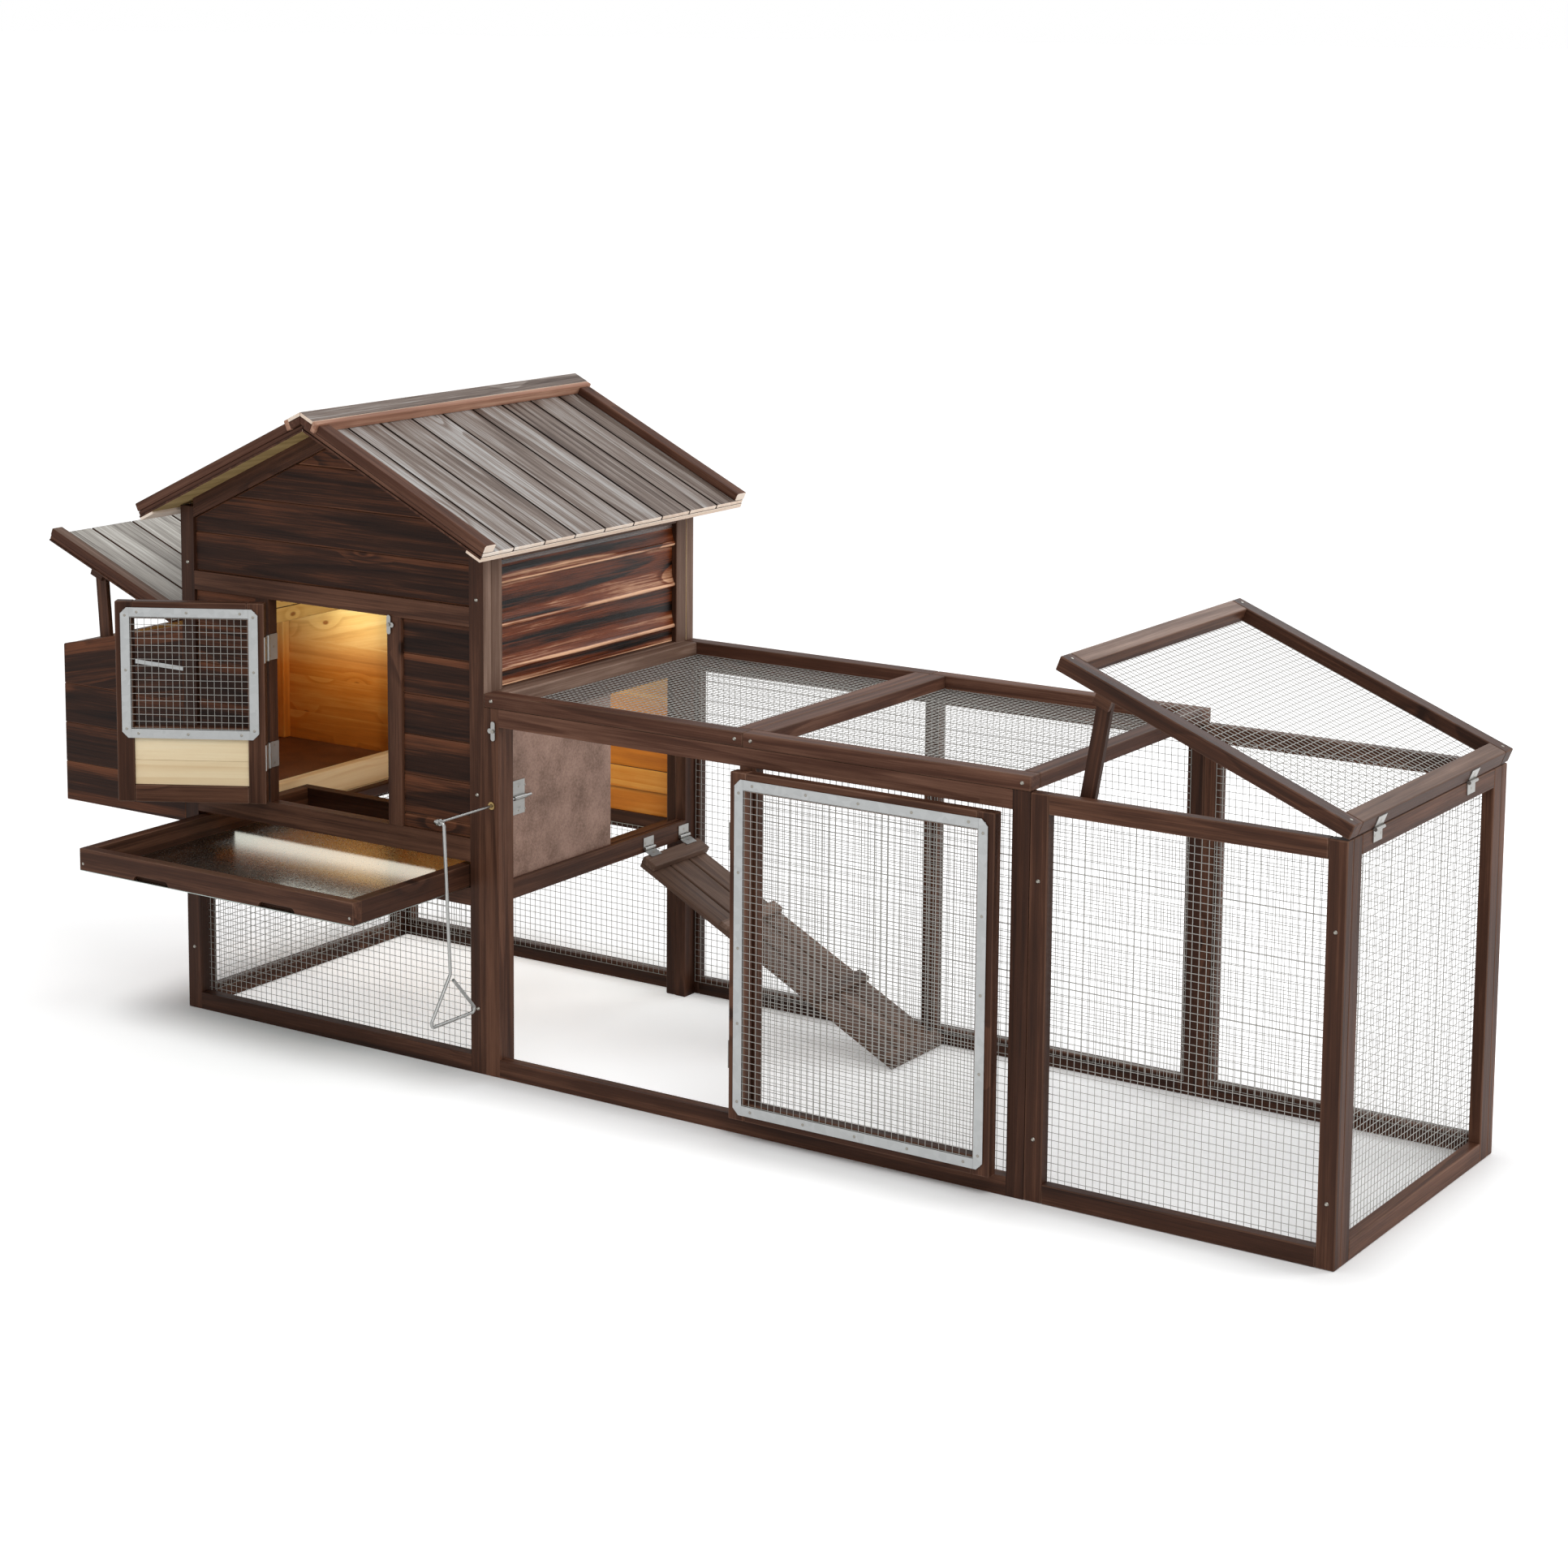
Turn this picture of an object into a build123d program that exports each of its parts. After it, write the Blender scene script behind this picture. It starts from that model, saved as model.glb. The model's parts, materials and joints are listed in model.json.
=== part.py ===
"""Raised chicken coop: a gabled timber house over a mesh underframe, a nest box with a lifting lid on its
left, and a two-section mesh run on its right with a swinging door, a lifting lid and a ramp.

Millimetres. X runs along the coop from the house to the run, Y from the front to the back and Z up.
The origin is the foot of the front seam between the house and the run, on the ground.
Every moving piece stands as it is photographed: doors and lids open, tray drawn, pop door slid aside.
"""
import os
from math import cos, radians, sin, tan

from build123d import *

os.makedirs("parts", exist_ok=True)

# Overall sizes
house_w = 720.0
run_w = 1100.0
end_w = 540.0
depth = 640.0
run_h = 670.0

# Timber, boards and sheets
timber_w = 32.0
timber_t = 22.0
board_t = 12.0
board_recess = 5.0
board_pitch = 73.5
board_least = 15.0
front_first_board = 23.5
door_board_pitch = 46.0
board_gap = 1.0
sheet_t = 4.0
lid_t = 25.0

# Clearances
joint_gap = 0.2
seat_gap = 0.1
slide_gap = 0.5
turn_gap = 0.3
swing_gap = 0.6

# Welded mesh, at three times the real half-inch pitch
net_pitch = 38.1
window_pitch = 13.5
net_bar = 2.0
net_t = 1.6
net_lap = 8.0
door_net_lap = 16.0

# House front, from the ground up and from the left
slot_z = 338.0
slot_h = 48.0
sill_h = 42.0
doorway_h = 382.0
head_h = 35.0
doorway_from_left = 216.0
doorway_w = 284.0

# House sides
wall_h = 966.0
plate_h = 41.0
log_base = 722.0
log_pitch = 79.5
log_rows = 3
log_rail_top = 696.0
log_t = 15.0
log_thin = 8.0
log_lip = 10.0
log_cove = 34.0
beam_h = 52.0

# Roof
roof_slope = 25.5
eave_over = 44.0
gable_front_over = 62.0
gable_back_over = 98.0
roof_board_t = 8.0
roof_board_count = 9
roof_board_gap = 3.0
roof_batten_w = 30.0
roof_batten_t = 16.0
eave_strip_w = 34.0
eave_strip_t = 5.0
ridge_beam_t = 13.0
ridge_strip_t = 11.0
ridge_cap_w = 18.0
ridge_cap_t = 6.5
ridge_over = 6.0

# Nest box and its lid
nest_w = 315.0
nest_d = 620.0
nest_z = 360.0
nest_outer_h = 307.0
nest_board_count = 4
nest_tilt = 12.5
nest_bearer_h = 14.0
nest_post = 20.0
nest_strip_l = 128.0
nest_strip_h = 8.0
nest_strip_z = 651.0
nest_lid_l = 355.0
nest_lid_over = 16.0
nest_lid_board_count = 6
nest_lid_batten_w = 26.0
nest_lid_batten_t = 14.0
nest_lid_rest = 22.0
nest_lid_seat = 1.0
nest_lid_back_gap = 14.0

# Run
run_door_from_left = 514.0
run_lid_rest = 21.7
track_z = 315.0
track_h = 35.0
pop_hole_y = 362.0

# Door gaps and metal edging strips
door_hinge_gap = 4.0
door_gap = 3.0
strip_w = 17.0
strip_t = 1.0
strip_clip = 16.0
strip_lap = 21.0
house_door_angle = 150.0
house_window_h = 202.0
house_mid_rail = 20.0

# Pop door, its rod and its pull handle
pop_door_w = 300.0
pop_door_t = 4.0
pop_groove = 6.0
rod_r = 2.5
rod_z = 495.0
rod_out = 146.0
rod_in = 112.0
rod_fit = 0.7
bracket_y = 80.0
bracket_w = 34.0
bracket_h = 62.0
grommet_r = 7.0
grommet_t = 2.0
eye_wall = 3.0
handle_r = 3.0
handle_drop = 273.0
handle_bend = 7.0
neck_in = 15.0
grip_h = 84.0
grip_fore = 58.0
grip_aft = 74.0

# Tray
tray_d = 612.0
tray_out = 312.0
tray_rail_h = 40.0
tray_side_gap = 4.0
tray_sheet_t = 1.2
runner_h = 20.0
scoop_w = 84.0
scoop_h = 9.0

# Ramp
ramp_angle = 27.5
ramp_w = 178.0
ramp_back_gap = 8.0
ramp_board_count = 3
ramp_board_t = 10.0
ramp_board_gap = 4.0
ramp_top_gap = 12.0
ramp_foot_gap = 0.4
cleat_w = 26.0
cleat_t = 10.0
batten_t = 14.0
cleat_stations = (0.33, 0.67)

# Butt hinges
hinge_l = 48.0
leaf_w = 22.0
small_hinge_l = 32.0
small_leaf_w = 17.0
leaf_t = 1.5
knuckle_r = 3.2
pin_r = 1.5
pin_fit = 0.05
pin_out = 4.0
knuckle_gap = 0.2
middle_knuckle = 16.0
house_hinge_in = 87.0
run_hinge_in = 112.0
lid_hinge_shares = (0.167, 0.75)

# Lid props
prop_w = 26.0
prop_t = 10.0
prop_below_rail = 15.0
prop_pivot_r = 2.0
prop_pivot_drop = 14.0
prop_block_t = 7.6
prop_block_w = 30.0
run_prop_along = 460.0
run_prop_lean = -9.7
nest_prop_along = 243.0
nest_prop_lean = 4.0

# Turn-button latches and screw heads
latch_t = 1.5
latch_lobe_r = 4.5
latch_arm = 13.0
latch_side_arm = 7.0
latch_stand = 1.7
latch_screw_r = 2.0
house_latch_in = 6.0
house_latch_drop = 15.0
run_latch_in = 22.0
run_latch_drop = 40.0
screw_r = 3.4
screw_h = 1.8
screw_taper = 35.0
post_screw_z = (119.0, 510.0, 860.0)
end_screw_z = (104.0, 528.0)

# Places worked out from the sizes above
slope = radians(roof_slope)
ridge_x = -house_w / 2
apex_z = wall_h + house_w / 2 * tan(slope)
roof_len = (house_w / 2 + eave_over) / cos(slope)
sill_z = slot_z + slot_h
door_z = sill_z + sill_h
head_z = door_z + doorway_h
gable_z = head_z + head_h
low_rail_z = slot_z - timber_w
house_x = (-house_w + timber_w, -timber_w)
doorway = (-house_w + doorway_from_left, -house_w + doorway_from_left + doorway_w)
side_y = (timber_t + joint_gap, depth - timber_t - joint_gap)
bay_y = (side_y[0] + timber_w, side_y[1] - timber_w)
back_y = depth - timber_t
run_x = (joint_gap, run_w - joint_gap)
end_x = (run_w + joint_gap, run_w + end_w)
run_mid = run_w / 2
mullion_x = timber_w + run_door_from_left
top_z = run_h + joint_gap
nest_x = -house_w - nest_w
nest_floor_z = nest_z + nest_bearer_h + seat_gap
nest_house_z = nest_z + nest_outer_h + nest_w * tan(radians(nest_tilt))
nest_pin_x = -house_w - pin_out
nest_rise = radians(nest_tilt)
nest_pin_z = nest_house_z - pin_out * tan(nest_rise) + (nest_lid_seat - pin_out) / cos(nest_rise)
nest_head_z = (nest_pin_z - small_leaf_w - 2 * pin_out, nest_pin_z + pin_out)
run_lid_pin = (run_w + end_w + pin_out, top_z)
partition_x = joint_gap
track_top = track_z + track_h
ramp_pin = (partition_x + timber_t + pin_out, track_z + timber_w / 4)
house_pin = (doorway[0] + door_hinge_gap / 2, -pin_out)
run_pin = (mullion_x - door_hinge_gap / 2, -pin_out)
pop_x = partition_x + (timber_t - pop_door_t) / 2
rod_x = pop_x + pop_door_t + seat_gap + leaf_t + rod_r
tray_x = (house_x[0] + tray_side_gap, house_x[1] - tray_side_gap)
tray_z = slot_z + slide_gap


def facing_front(y):
    """A plane at depth y that reads X across and Z up; what is drawn on it grows towards the front."""
    return Plane((0, y, 0), x_dir=(1, 0, 0), z_dir=(0, -1, 0))


def facing_right(x):
    """A plane at x that reads Y across and Z up; what is drawn on it grows towards +X."""
    return Plane((x, 0, 0), x_dir=(0, 1, 0), z_dir=(1, 0, 0))


def lid_plane(pin, tilt):
    """A plane through a hinge along Y: reads Y across, runs towards -X and is raised by the tilt."""
    angle = radians(tilt)
    return Plane((pin[0], 0, pin[1]), x_dir=(0, 1, 0), z_dir=(sin(angle), 0, cos(angle)))


def door_plane(pin, turn):
    """A plane through an upright hinge: reads along the door and up, and grows out of its closed front."""
    angle = radians(turn)
    return Plane((pin[0], pin[1], 0), x_dir=(cos(angle), sin(angle), 0), z_dir=(sin(angle), -cos(angle), 0))


def span(low, high, gap=joint_gap):
    """The limits of a piece that fits between two others with a gap at each end."""
    return low + gap, high - gap


def bar(across, up):
    """One straight piece drawn face on between its limits across and up."""
    with Locations(((across[0] + across[1]) / 2, (up[0] + up[1]) / 2)):
        Rectangle(across[1] - across[0], up[1] - up[0])


def block(x, y, z):
    """One squared piece between its limits."""
    with Locations(((x[0] + x[1]) / 2, (y[0] + y[1]) / 2, (z[0] + z[1]) / 2)):
        Box(x[1] - x[0], y[1] - y[0], z[1] - z[0])


def framed_panel(plane, across, up, thickness, mullions=()):
    """A framed panel: two full-length stiles, two rails between them and mullions between the rails."""
    with BuildSketch(plane) as face:
        for low in (across[0], across[1] - timber_w):
            bar((low, low + timber_w), up)
        for low in (up[0], up[1] - timber_w):
            bar(span(across[0] + timber_w, across[1] - timber_w), (low, low + timber_w))
        for low in mullions:
            bar((low, low + timber_w), span(up[0] + timber_w, up[1] - timber_w))
    extrude(face.sketch, amount=thickness)


def net(plane, across, up, pitch=net_pitch):
    """A flat welded net between its limits: one holed face, as thick as the wire."""
    width = across[1] - across[0]
    height = up[1] - up[0]
    columns = round(width / pitch)
    rows = round(height / pitch)
    with BuildSketch(plane) as face:
        with Locations(((across[0] + across[1]) / 2, (up[0] + up[1]) / 2)):
            Rectangle(width, height)
            with GridLocations(width / columns, height / rows, columns, rows):
                Rectangle(width / columns - net_bar, height / rows - net_bar, mode=Mode.SUBTRACT)
    extrude(face.sketch, amount=net_t, clean=False)


def lapped(low, high, lap=net_lap):
    """The limits of a net that laps the timber round its bay."""
    return low - lap, high + lap


def board_rows(across, up, first=board_pitch, pitch=board_pitch, least=board_least):
    """Horizontal boards between the limits, drawn face on; the lowest and the top one are cut to fit."""
    edges = [up[0]]
    while edges[-1] + first < up[1] - least:
        edges.append(edges[-1] + first)
        first = pitch
    edges.append(up[1])
    for low, high in zip(edges, edges[1:]):
        bar(span(*across), span(low, high, board_gap / 2))


def boarding(plane, across, up, first=board_pitch, pitch=board_pitch):
    """A boarded wall panel."""
    with BuildSketch(plane) as face:
        board_rows(across, up, first, pitch)
    extrude(face.sketch, amount=board_t)


def roof_line(x, lift=0.0):
    """Height at x of a line parallel to the roof's underside, lifted square to it."""
    return apex_z + lift / cos(slope) - abs(x - ridge_x) * tan(slope)


def outline(*points):
    """A straight-sided face through the points, added to the sketch."""
    with BuildLine() as edge:
        Polyline(*points, close=True)
    make_face(edge.edges())


def rafter(side):
    """One gable rafter under a roof slope, from the ridge to the corner post."""
    inner = ridge_x + side * joint_gap
    outer = ridge_x + side * (house_w / 2 - timber_w - joint_gap)
    outline((inner, roof_line(inner, -joint_gap)), (outer, roof_line(outer, -joint_gap)),
            (outer, roof_line(outer, -timber_w)), (inner, roof_line(inner, -timber_w)))


def gable_timbers():
    """Posts, rails and rafters that the front and the back of the house share, drawn face on."""
    for low in (-house_w, -timber_w):
        bar((low, low + timber_w), (0, wall_h - joint_gap))
    for up in ((0, timber_w), (low_rail_z, slot_z), (sill_z, door_z), (head_z, gable_z)):
        bar(span(*house_x), up)
    for side in (-1, 1):
        rafter(side)


def gable_boards(plane):
    """Horizontal boards in the gable, cut to the rafters."""
    base = gable_z + joint_gap
    ends = span(*house_x)
    with BuildSketch(plane) as face:
        board_rows(house_x, (base, apex_z))
        with BuildLine():
            Polyline((ends[0], base), (ends[1], base), (ends[1], roof_line(ends[1], -timber_w) - joint_gap),
                     (ridge_x, roof_line(ridge_x, -timber_w) - joint_gap),
                     (ends[0], roof_line(ends[0], -timber_w) - joint_gap), close=True)
        make_face(mode=Mode.INTERSECT)
    extrude(face.sketch, amount=board_t)


def slope_point(side, along, lift):
    """X and Z of a point on a roof slope: along it from the apex and lifted square to it."""
    return (ridge_x + side * (along * cos(slope) + lift * sin(slope)),
            apex_z - along * sin(slope) + lift * cos(slope))


def slope_slab(side, lift, y, end=roof_len, start=None):
    """A slab on one roof slope between two lifts, mitred at the ridge unless it starts lower down."""
    starts = [joint_gap - level * tan(slope) if start is None else start for level in lift]
    with BuildSketch(facing_front(y[1])) as face:
        outline(slope_point(side, starts[0], lift[0]), slope_point(side, end, lift[0]),
                slope_point(side, end, lift[1]), slope_point(side, starts[1], lift[1]))
    extrude(face.sketch, amount=y[1] - y[0])


def even_spans(low, high, count, gap):
    """Equal pieces side by side between two limits, with a gap between neighbours."""
    pitch = (high - low) / count
    return [span(low + index * pitch, low + (index + 1) * pitch, gap / 2) for index in range(count)]


def hinge_half(centre, leaf_dir, axis, bands, to_face, length=hinge_l, width=leaf_w):
    """Half a butt hinge: a plate on the wood at the given distance from the pin, and its knuckles."""
    plane = Plane(centre, x_dir=leaf_dir, z_dir=axis)
    plate_y = leaf_t / 2 + seat_gap - to_face
    root = knuckle_r + 2 * knuckle_gap
    with BuildSketch(plane.offset(-length / 2)) as face:
        bar((root, root + width), (plate_y - leaf_t / 2, plate_y + leaf_t / 2))
    extrude(face.sketch, amount=length)
    for low, high in bands:
        with BuildSketch(plane.offset(low)) as face:
            Circle(knuckle_r)
            bar((0, root), (plate_y - leaf_t / 2, plate_y + leaf_t / 2))
            Circle(pin_r + pin_fit, mode=Mode.SUBTRACT)
        extrude(face.sketch, amount=high - low)


band_end = middle_knuckle / 2 + knuckle_gap
outer_bands = ((-hinge_l / 2, -band_end), (band_end, hinge_l / 2))
small_bands = ((-small_hinge_l / 2, -band_end), (band_end, small_hinge_l / 2))
small = {"length": small_hinge_l, "width": small_leaf_w}
inner_bands = ((-middle_knuckle / 2, middle_knuckle / 2),)


def pin(centre, axis, length=hinge_l):
    """A hinge pin along an axis."""
    with BuildSketch(Plane(centre, z_dir=axis).offset(-length / 2)) as face:
        Circle(pin_r)
    extrude(face.sketch, amount=length)


def edging(plane, across, up):
    """Four galvanised strips over the edges of a door's mesh, with clipped corners."""
    inner = (across[0] + strip_w, across[1] - strip_w)
    with BuildSketch(plane) as face:
        for low in (across[0], across[1] - strip_w):
            bar((low, low + strip_w), up)
        for low in (up[0], up[1] - strip_w):
            bar(span(*inner), (low, low + strip_w))
        for x, z in ((across[0], up[0]), (across[1], up[0]), (across[0], up[1]), (across[1], up[1])):
            with Locations(Location((x, z, 0), (0, 0, 45))):
                Rectangle(strip_clip, strip_clip, mode=Mode.SUBTRACT)
    extrude(face.sketch, amount=strip_t)


def bar_cut(across, up):
    """A rectangular opening cut from the sketch."""
    with Locations(((across[0] + across[1]) / 2, (up[0] + up[1]) / 2)):
        Rectangle(across[1] - across[0], up[1] - up[0], mode=Mode.SUBTRACT)


# House walls
front_plane = facing_front(timber_t)
back_plane = facing_front(depth)
front_board_plane = facing_front(board_recess + board_t)
back_board_plane = facing_front(depth - board_recess)
door_bay = span(door_z, head_z)

with BuildPart() as house_front_frame:
    with BuildSketch(front_plane):
        gable_timbers()
        bar((doorway[0] - timber_w, doorway[0]), door_bay)
        bar((doorway[1], doorway[1] + timber_w), door_bay)
    extrude(amount=timber_t)

with BuildPart() as house_front_boards:
    boarding(front_board_plane, (house_x[0], doorway[0] - timber_w), door_bay, front_first_board)
    boarding(front_board_plane, (doorway[1] + timber_w, house_x[1]), door_bay, front_first_board)
    gable_boards(front_board_plane)

with BuildPart() as house_back_frame:
    with BuildSketch(back_plane):
        gable_timbers()
    extrude(amount=timber_t)

with BuildPart() as house_back_boards:
    boarding(back_board_plane, house_x, span(slot_z, sill_z))
    boarding(back_board_plane, house_x, door_bay)
    gable_boards(back_board_plane)

side_post = (0, wall_h - joint_gap)
top_rail = (wall_h - plate_h, wall_h - plate_h + timber_w)
beam_top = slot_z + joint_gap + beam_h

with BuildPart() as house_left_frame:
    with BuildSketch(facing_right(-house_w)):
        for low in (side_y[0], bay_y[1]):
            bar((low, low + timber_w), side_post)
        for up in ((0, timber_w), (low_rail_z, slot_z), (slot_z + joint_gap, beam_top), nest_head_z, top_rail):
            bar(span(*bay_y), up)
    extrude(amount=timber_t)

jamb_y = (pop_hole_y - timber_w, pop_hole_y)
log_rail = (log_rail_top - timber_w, log_rail_top)
panel_rail = (track_top, track_top + timber_w)

with BuildPart() as house_right_frame:
    with BuildSketch(facing_right(-timber_t)):
        for low in (side_y[0], bay_y[1]):
            bar((low, low + timber_w), side_post)
        for up in (log_rail, top_rail):
            bar(span(*bay_y), up)
        bar(jamb_y, span(track_top, log_rail[0]))
        bar(span(bay_y[0], jamb_y[0]), panel_rail)
    extrude(amount=timber_t)

with BuildPart() as house_side_boards:
    boarding(facing_right(-house_w + board_recess), bay_y, span(nest_head_z[1], top_rail[0]))
    boarding(facing_right(-board_recess - board_t), (bay_y[0], jamb_y[0]), span(panel_rail[1], log_rail[0]))

with BuildPart() as house_right_boards:
    log_back = -(log_t + timber_t) / 2
    log_face = log_back + log_thin
    bead = log_back + log_t - log_lip / 4
    log_y = span(*bay_y)
    log_edges = [log_rail_top] + [log_base + row * log_pitch for row in range(log_rows)] + [top_rail[0]]
    with BuildSketch(facing_front(log_y[1])):
        bar((log_back, log_face), span(log_edges[0], log_edges[1]))
        for low, high in zip(log_edges[1:], log_edges[2:]):
            low, high = span(low, high)
            lip = low + log_lip
            cove = low + log_cove
            hollow = (log_face + (bead - log_face) / 4, (lip + cove) / 2)
            with BuildLine() as edge:
                Polyline((bead, low), (log_back, low), (log_back, high), (log_face, high), (log_face, cove))
                ThreePointArc((log_face, cove), hollow, (bead, lip))
                ThreePointArc((bead, lip), (log_back + log_t, low + log_lip / 2), (bead, low))
            make_face(edge.edges())
    extrude(amount=log_y[1] - log_y[0])

with BuildPart() as house_mesh:
    low_bay = lapped(timber_w, low_rail_z)
    net(facing_front(timber_t + seat_gap + net_t), lapped(*house_x), low_bay)
    net(facing_front(back_y - seat_gap), lapped(*house_x), low_bay)
    net(facing_right(-house_w + timber_t + seat_gap), lapped(*bay_y), low_bay)

# Roof
roof_y = (-gable_front_over, depth + gable_back_over)
ridge_y = (roof_y[0] - ridge_over, roof_y[1] + ridge_over)
batten_ys = ((roof_y[0], roof_y[0] + roof_batten_w), (roof_y[1] - roof_batten_w, roof_y[1]))
board_lift = (sheet_t + joint_gap, sheet_t + joint_gap + roof_board_t)
batten_lift = (board_lift[1] + joint_gap, board_lift[1] + joint_gap + roof_batten_t)
beam_lift = (batten_lift[0], batten_lift[0] + ridge_beam_t)
cap_lift = (beam_lift[1] + joint_gap, beam_lift[1] + joint_gap + ridge_cap_t)
ridge_strip = span(ridge_cap_w, ridge_cap_w + ridge_strip_t)

with BuildPart() as roof_underlay:
    for side in (-1, 1):
        slope_slab(side, (seat_gap, sheet_t), roof_y)
        slope_slab(side, (-eave_strip_t, 0), roof_y, start=roof_len - eave_strip_w)

with BuildPart() as roof_boards:
    for side in (-1, 1):
        for y in even_spans(*roof_y, roof_board_count, roof_board_gap):
            slope_slab(side, board_lift, y)

with BuildPart() as roof_battens:
    for side in (-1, 1):
        for y in batten_ys:
            slope_slab(side, batten_lift, y, start=ridge_strip[1] + joint_gap)
        slope_slab(side, beam_lift, ridge_y, end=ridge_cap_w)
        slope_slab(side, (beam_lift[0], cap_lift[1]), ridge_y, start=ridge_strip[0], end=ridge_strip[1])

with BuildPart() as ridge_cap:
    for side in (-1, 1):
        slope_slab(side, cap_lift, ridge_y, end=ridge_cap_w)

# Nest box
nest_front_plane = facing_front(board_t)
nest_back_plane = facing_front(nest_d)
nest_out = (nest_x, -house_w - joint_gap)
nest_in_y = (board_t, nest_d - board_t)
nest_board_pitch = nest_outer_h / nest_board_count


def nest_top(x):
    """Height of the nest box's sloping top edge at x."""
    return nest_z + nest_outer_h + (x - nest_x) * tan(radians(nest_tilt))


with BuildPart() as nest_box_walls:
    for plane in (nest_front_plane, nest_back_plane):
        with BuildSketch(plane):
            board_rows((nest_out[0] - joint_gap, nest_out[1] + joint_gap), (nest_z, nest_house_z),
                       nest_board_pitch, nest_board_pitch, nest_house_z - nest_z - nest_outer_h + board_least)
            with BuildLine():
                Polyline((nest_out[0], nest_z), (nest_out[1], nest_z), (nest_out[1], nest_top(nest_out[1])),
                         (nest_out[0], nest_top(nest_out[0])), close=True)
            make_face(mode=Mode.INTERSECT)
        extrude(amount=board_t)
    boarding(facing_right(nest_x), nest_in_y, (nest_z, nest_z + nest_outer_h), nest_board_pitch,
             nest_board_pitch)

nest_in_x = span(nest_x + board_t, -house_w)

with BuildPart() as nest_box_frame:
    for y in (span(nest_in_y[0], nest_in_y[0] + timber_t), span(nest_in_y[1] - timber_t, nest_in_y[1])):
        block(nest_in_x, y, (nest_z, nest_z + nest_bearer_h))
    post_z = (nest_floor_z + sheet_t + joint_gap, nest_z + nest_outer_h - joint_gap)
    for y in (span(nest_in_y[0], nest_in_y[0] + nest_post), span(nest_in_y[1] - nest_post, nest_in_y[1])):
        block((nest_in_x[0], nest_in_x[0] + nest_post), y, post_z)

with BuildPart() as nest_box_floor:
    block(nest_in_x, span(*nest_in_y), (nest_floor_z, nest_floor_z + sheet_t))

with BuildPart() as nest_joint_strip:
    block((nest_out[1] - nest_strip_l, nest_out[1]), (-seat_gap - strip_t, -seat_gap),
          (nest_strip_z, nest_strip_z + nest_strip_h))

# Nest lid, raised on its prop
nest_lid = lid_plane((nest_pin_x, nest_pin_z), nest_lid_rest)
nest_lid_y = (-nest_lid_over, nest_d + nest_lid_over)
nest_board_z = pin_out + sheet_t + joint_gap
nest_batten_z = nest_board_z + roof_board_t + joint_gap

with BuildPart() as nest_lid_boards:
    with BuildSketch(nest_lid.offset(pin_out)):
        bar(nest_lid_y, (nest_lid_back_gap, nest_lid_l))
    extrude(amount=sheet_t)
    with BuildSketch(nest_lid.offset(nest_board_z)):
        for across in even_spans(*nest_lid_y, nest_lid_board_count, roof_board_gap):
            bar(across, (nest_lid_back_gap, nest_lid_l))
    extrude(amount=roof_board_t)
    with BuildSketch(nest_lid.offset(nest_batten_z)):
        for low in (nest_lid_y[0], nest_lid_y[1] - nest_lid_batten_w):
            bar((low, low + nest_lid_batten_w), (2 * nest_lid_back_gap, nest_lid_l))
    extrude(amount=nest_lid_batten_t)


def prop_pivot(plane, along, under):
    """The point on a lid's plane where its prop swings, below the underside."""
    return plane.from_local_coords((0, along, under - prop_pivot_drop))


def prop_block(plane, along, under, y):
    """A block under a lid that holds a prop's pivot screw, and the screw."""
    with BuildSketch(plane.offset(under - prop_pivot_drop - prop_w / 2)) as face:
        bar(y, (along - prop_block_w / 2, along + prop_block_w / 2))
    extrude(face.sketch, amount=prop_pivot_drop + prop_w / 2 - seat_gap)
    pivot = prop_pivot(plane, along, under)
    with BuildSketch(Plane((pivot.X, y[1], pivot.Z), z_dir=(0, 1, 0))) as face:
        Circle(prop_pivot_r)
    extrude(face.sketch, amount=2 * joint_gap + prop_t + screw_h)


def prop(pivot, y, lean, foot_z):
    """A flat prop hanging from its pivot beside the block, round at the top and square at the foot."""
    angle = radians(lean)
    length = (pivot.Z - foot_z) / cos(angle)
    plane = Plane((pivot.X, y, pivot.Z), x_dir=(cos(angle), 0, sin(angle)), z_dir=(0, -1, 0))
    with BuildSketch(plane.offset(-prop_t)) as face:
        Circle(prop_w / 2)
        bar((-prop_w / 2, prop_w / 2), (-length, 0))
        Circle(prop_pivot_r + pin_fit, mode=Mode.SUBTRACT)
    extrude(face.sketch, amount=prop_t)


nest_block_y = (board_t + swing_gap, board_t + swing_gap + prop_block_t)
nest_pivot = prop_pivot(nest_lid, nest_prop_along, pin_out)

with BuildPart() as nest_lid_prop_block:
    prop_block(nest_lid, nest_prop_along, pin_out, nest_block_y)

with BuildPart() as nest_lid_prop:
    prop(nest_pivot, nest_block_y[1] + 2 * joint_gap, nest_prop_lean, nest_top(nest_pivot.X) - prop_below_rail)

# Run frames
with BuildPart() as run_front_frame:
    framed_panel(front_plane, run_x, (0, run_h), timber_t, mullions=(mullion_x,))
    with BuildSketch(front_plane):
        with Locations((rod_x, rod_z)):
            Circle(rod_r + rod_fit)
    extrude(amount=timber_t, mode=Mode.SUBTRACT)

with BuildPart() as run_back_frame:
    framed_panel(back_plane, run_x, (0, run_h), timber_t, mullions=(run_mid - timber_w / 2,))

with BuildPart() as run_roof_frames:
    for right in (run_mid - joint_gap, run_w - joint_gap):
        framed_panel(lid_plane((right, top_z), 0), (0, depth), (0, run_mid - 2 * joint_gap), lid_t)

with BuildPart() as end_front_frame:
    framed_panel(front_plane, end_x, (0, run_h), timber_t)

with BuildPart() as end_back_frame:
    framed_panel(back_plane, end_x, (0, run_h), timber_t)

with BuildPart() as end_frame:
    framed_panel(facing_right(end_x[1] - timber_t), side_y, (0, run_h), timber_t)

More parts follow.
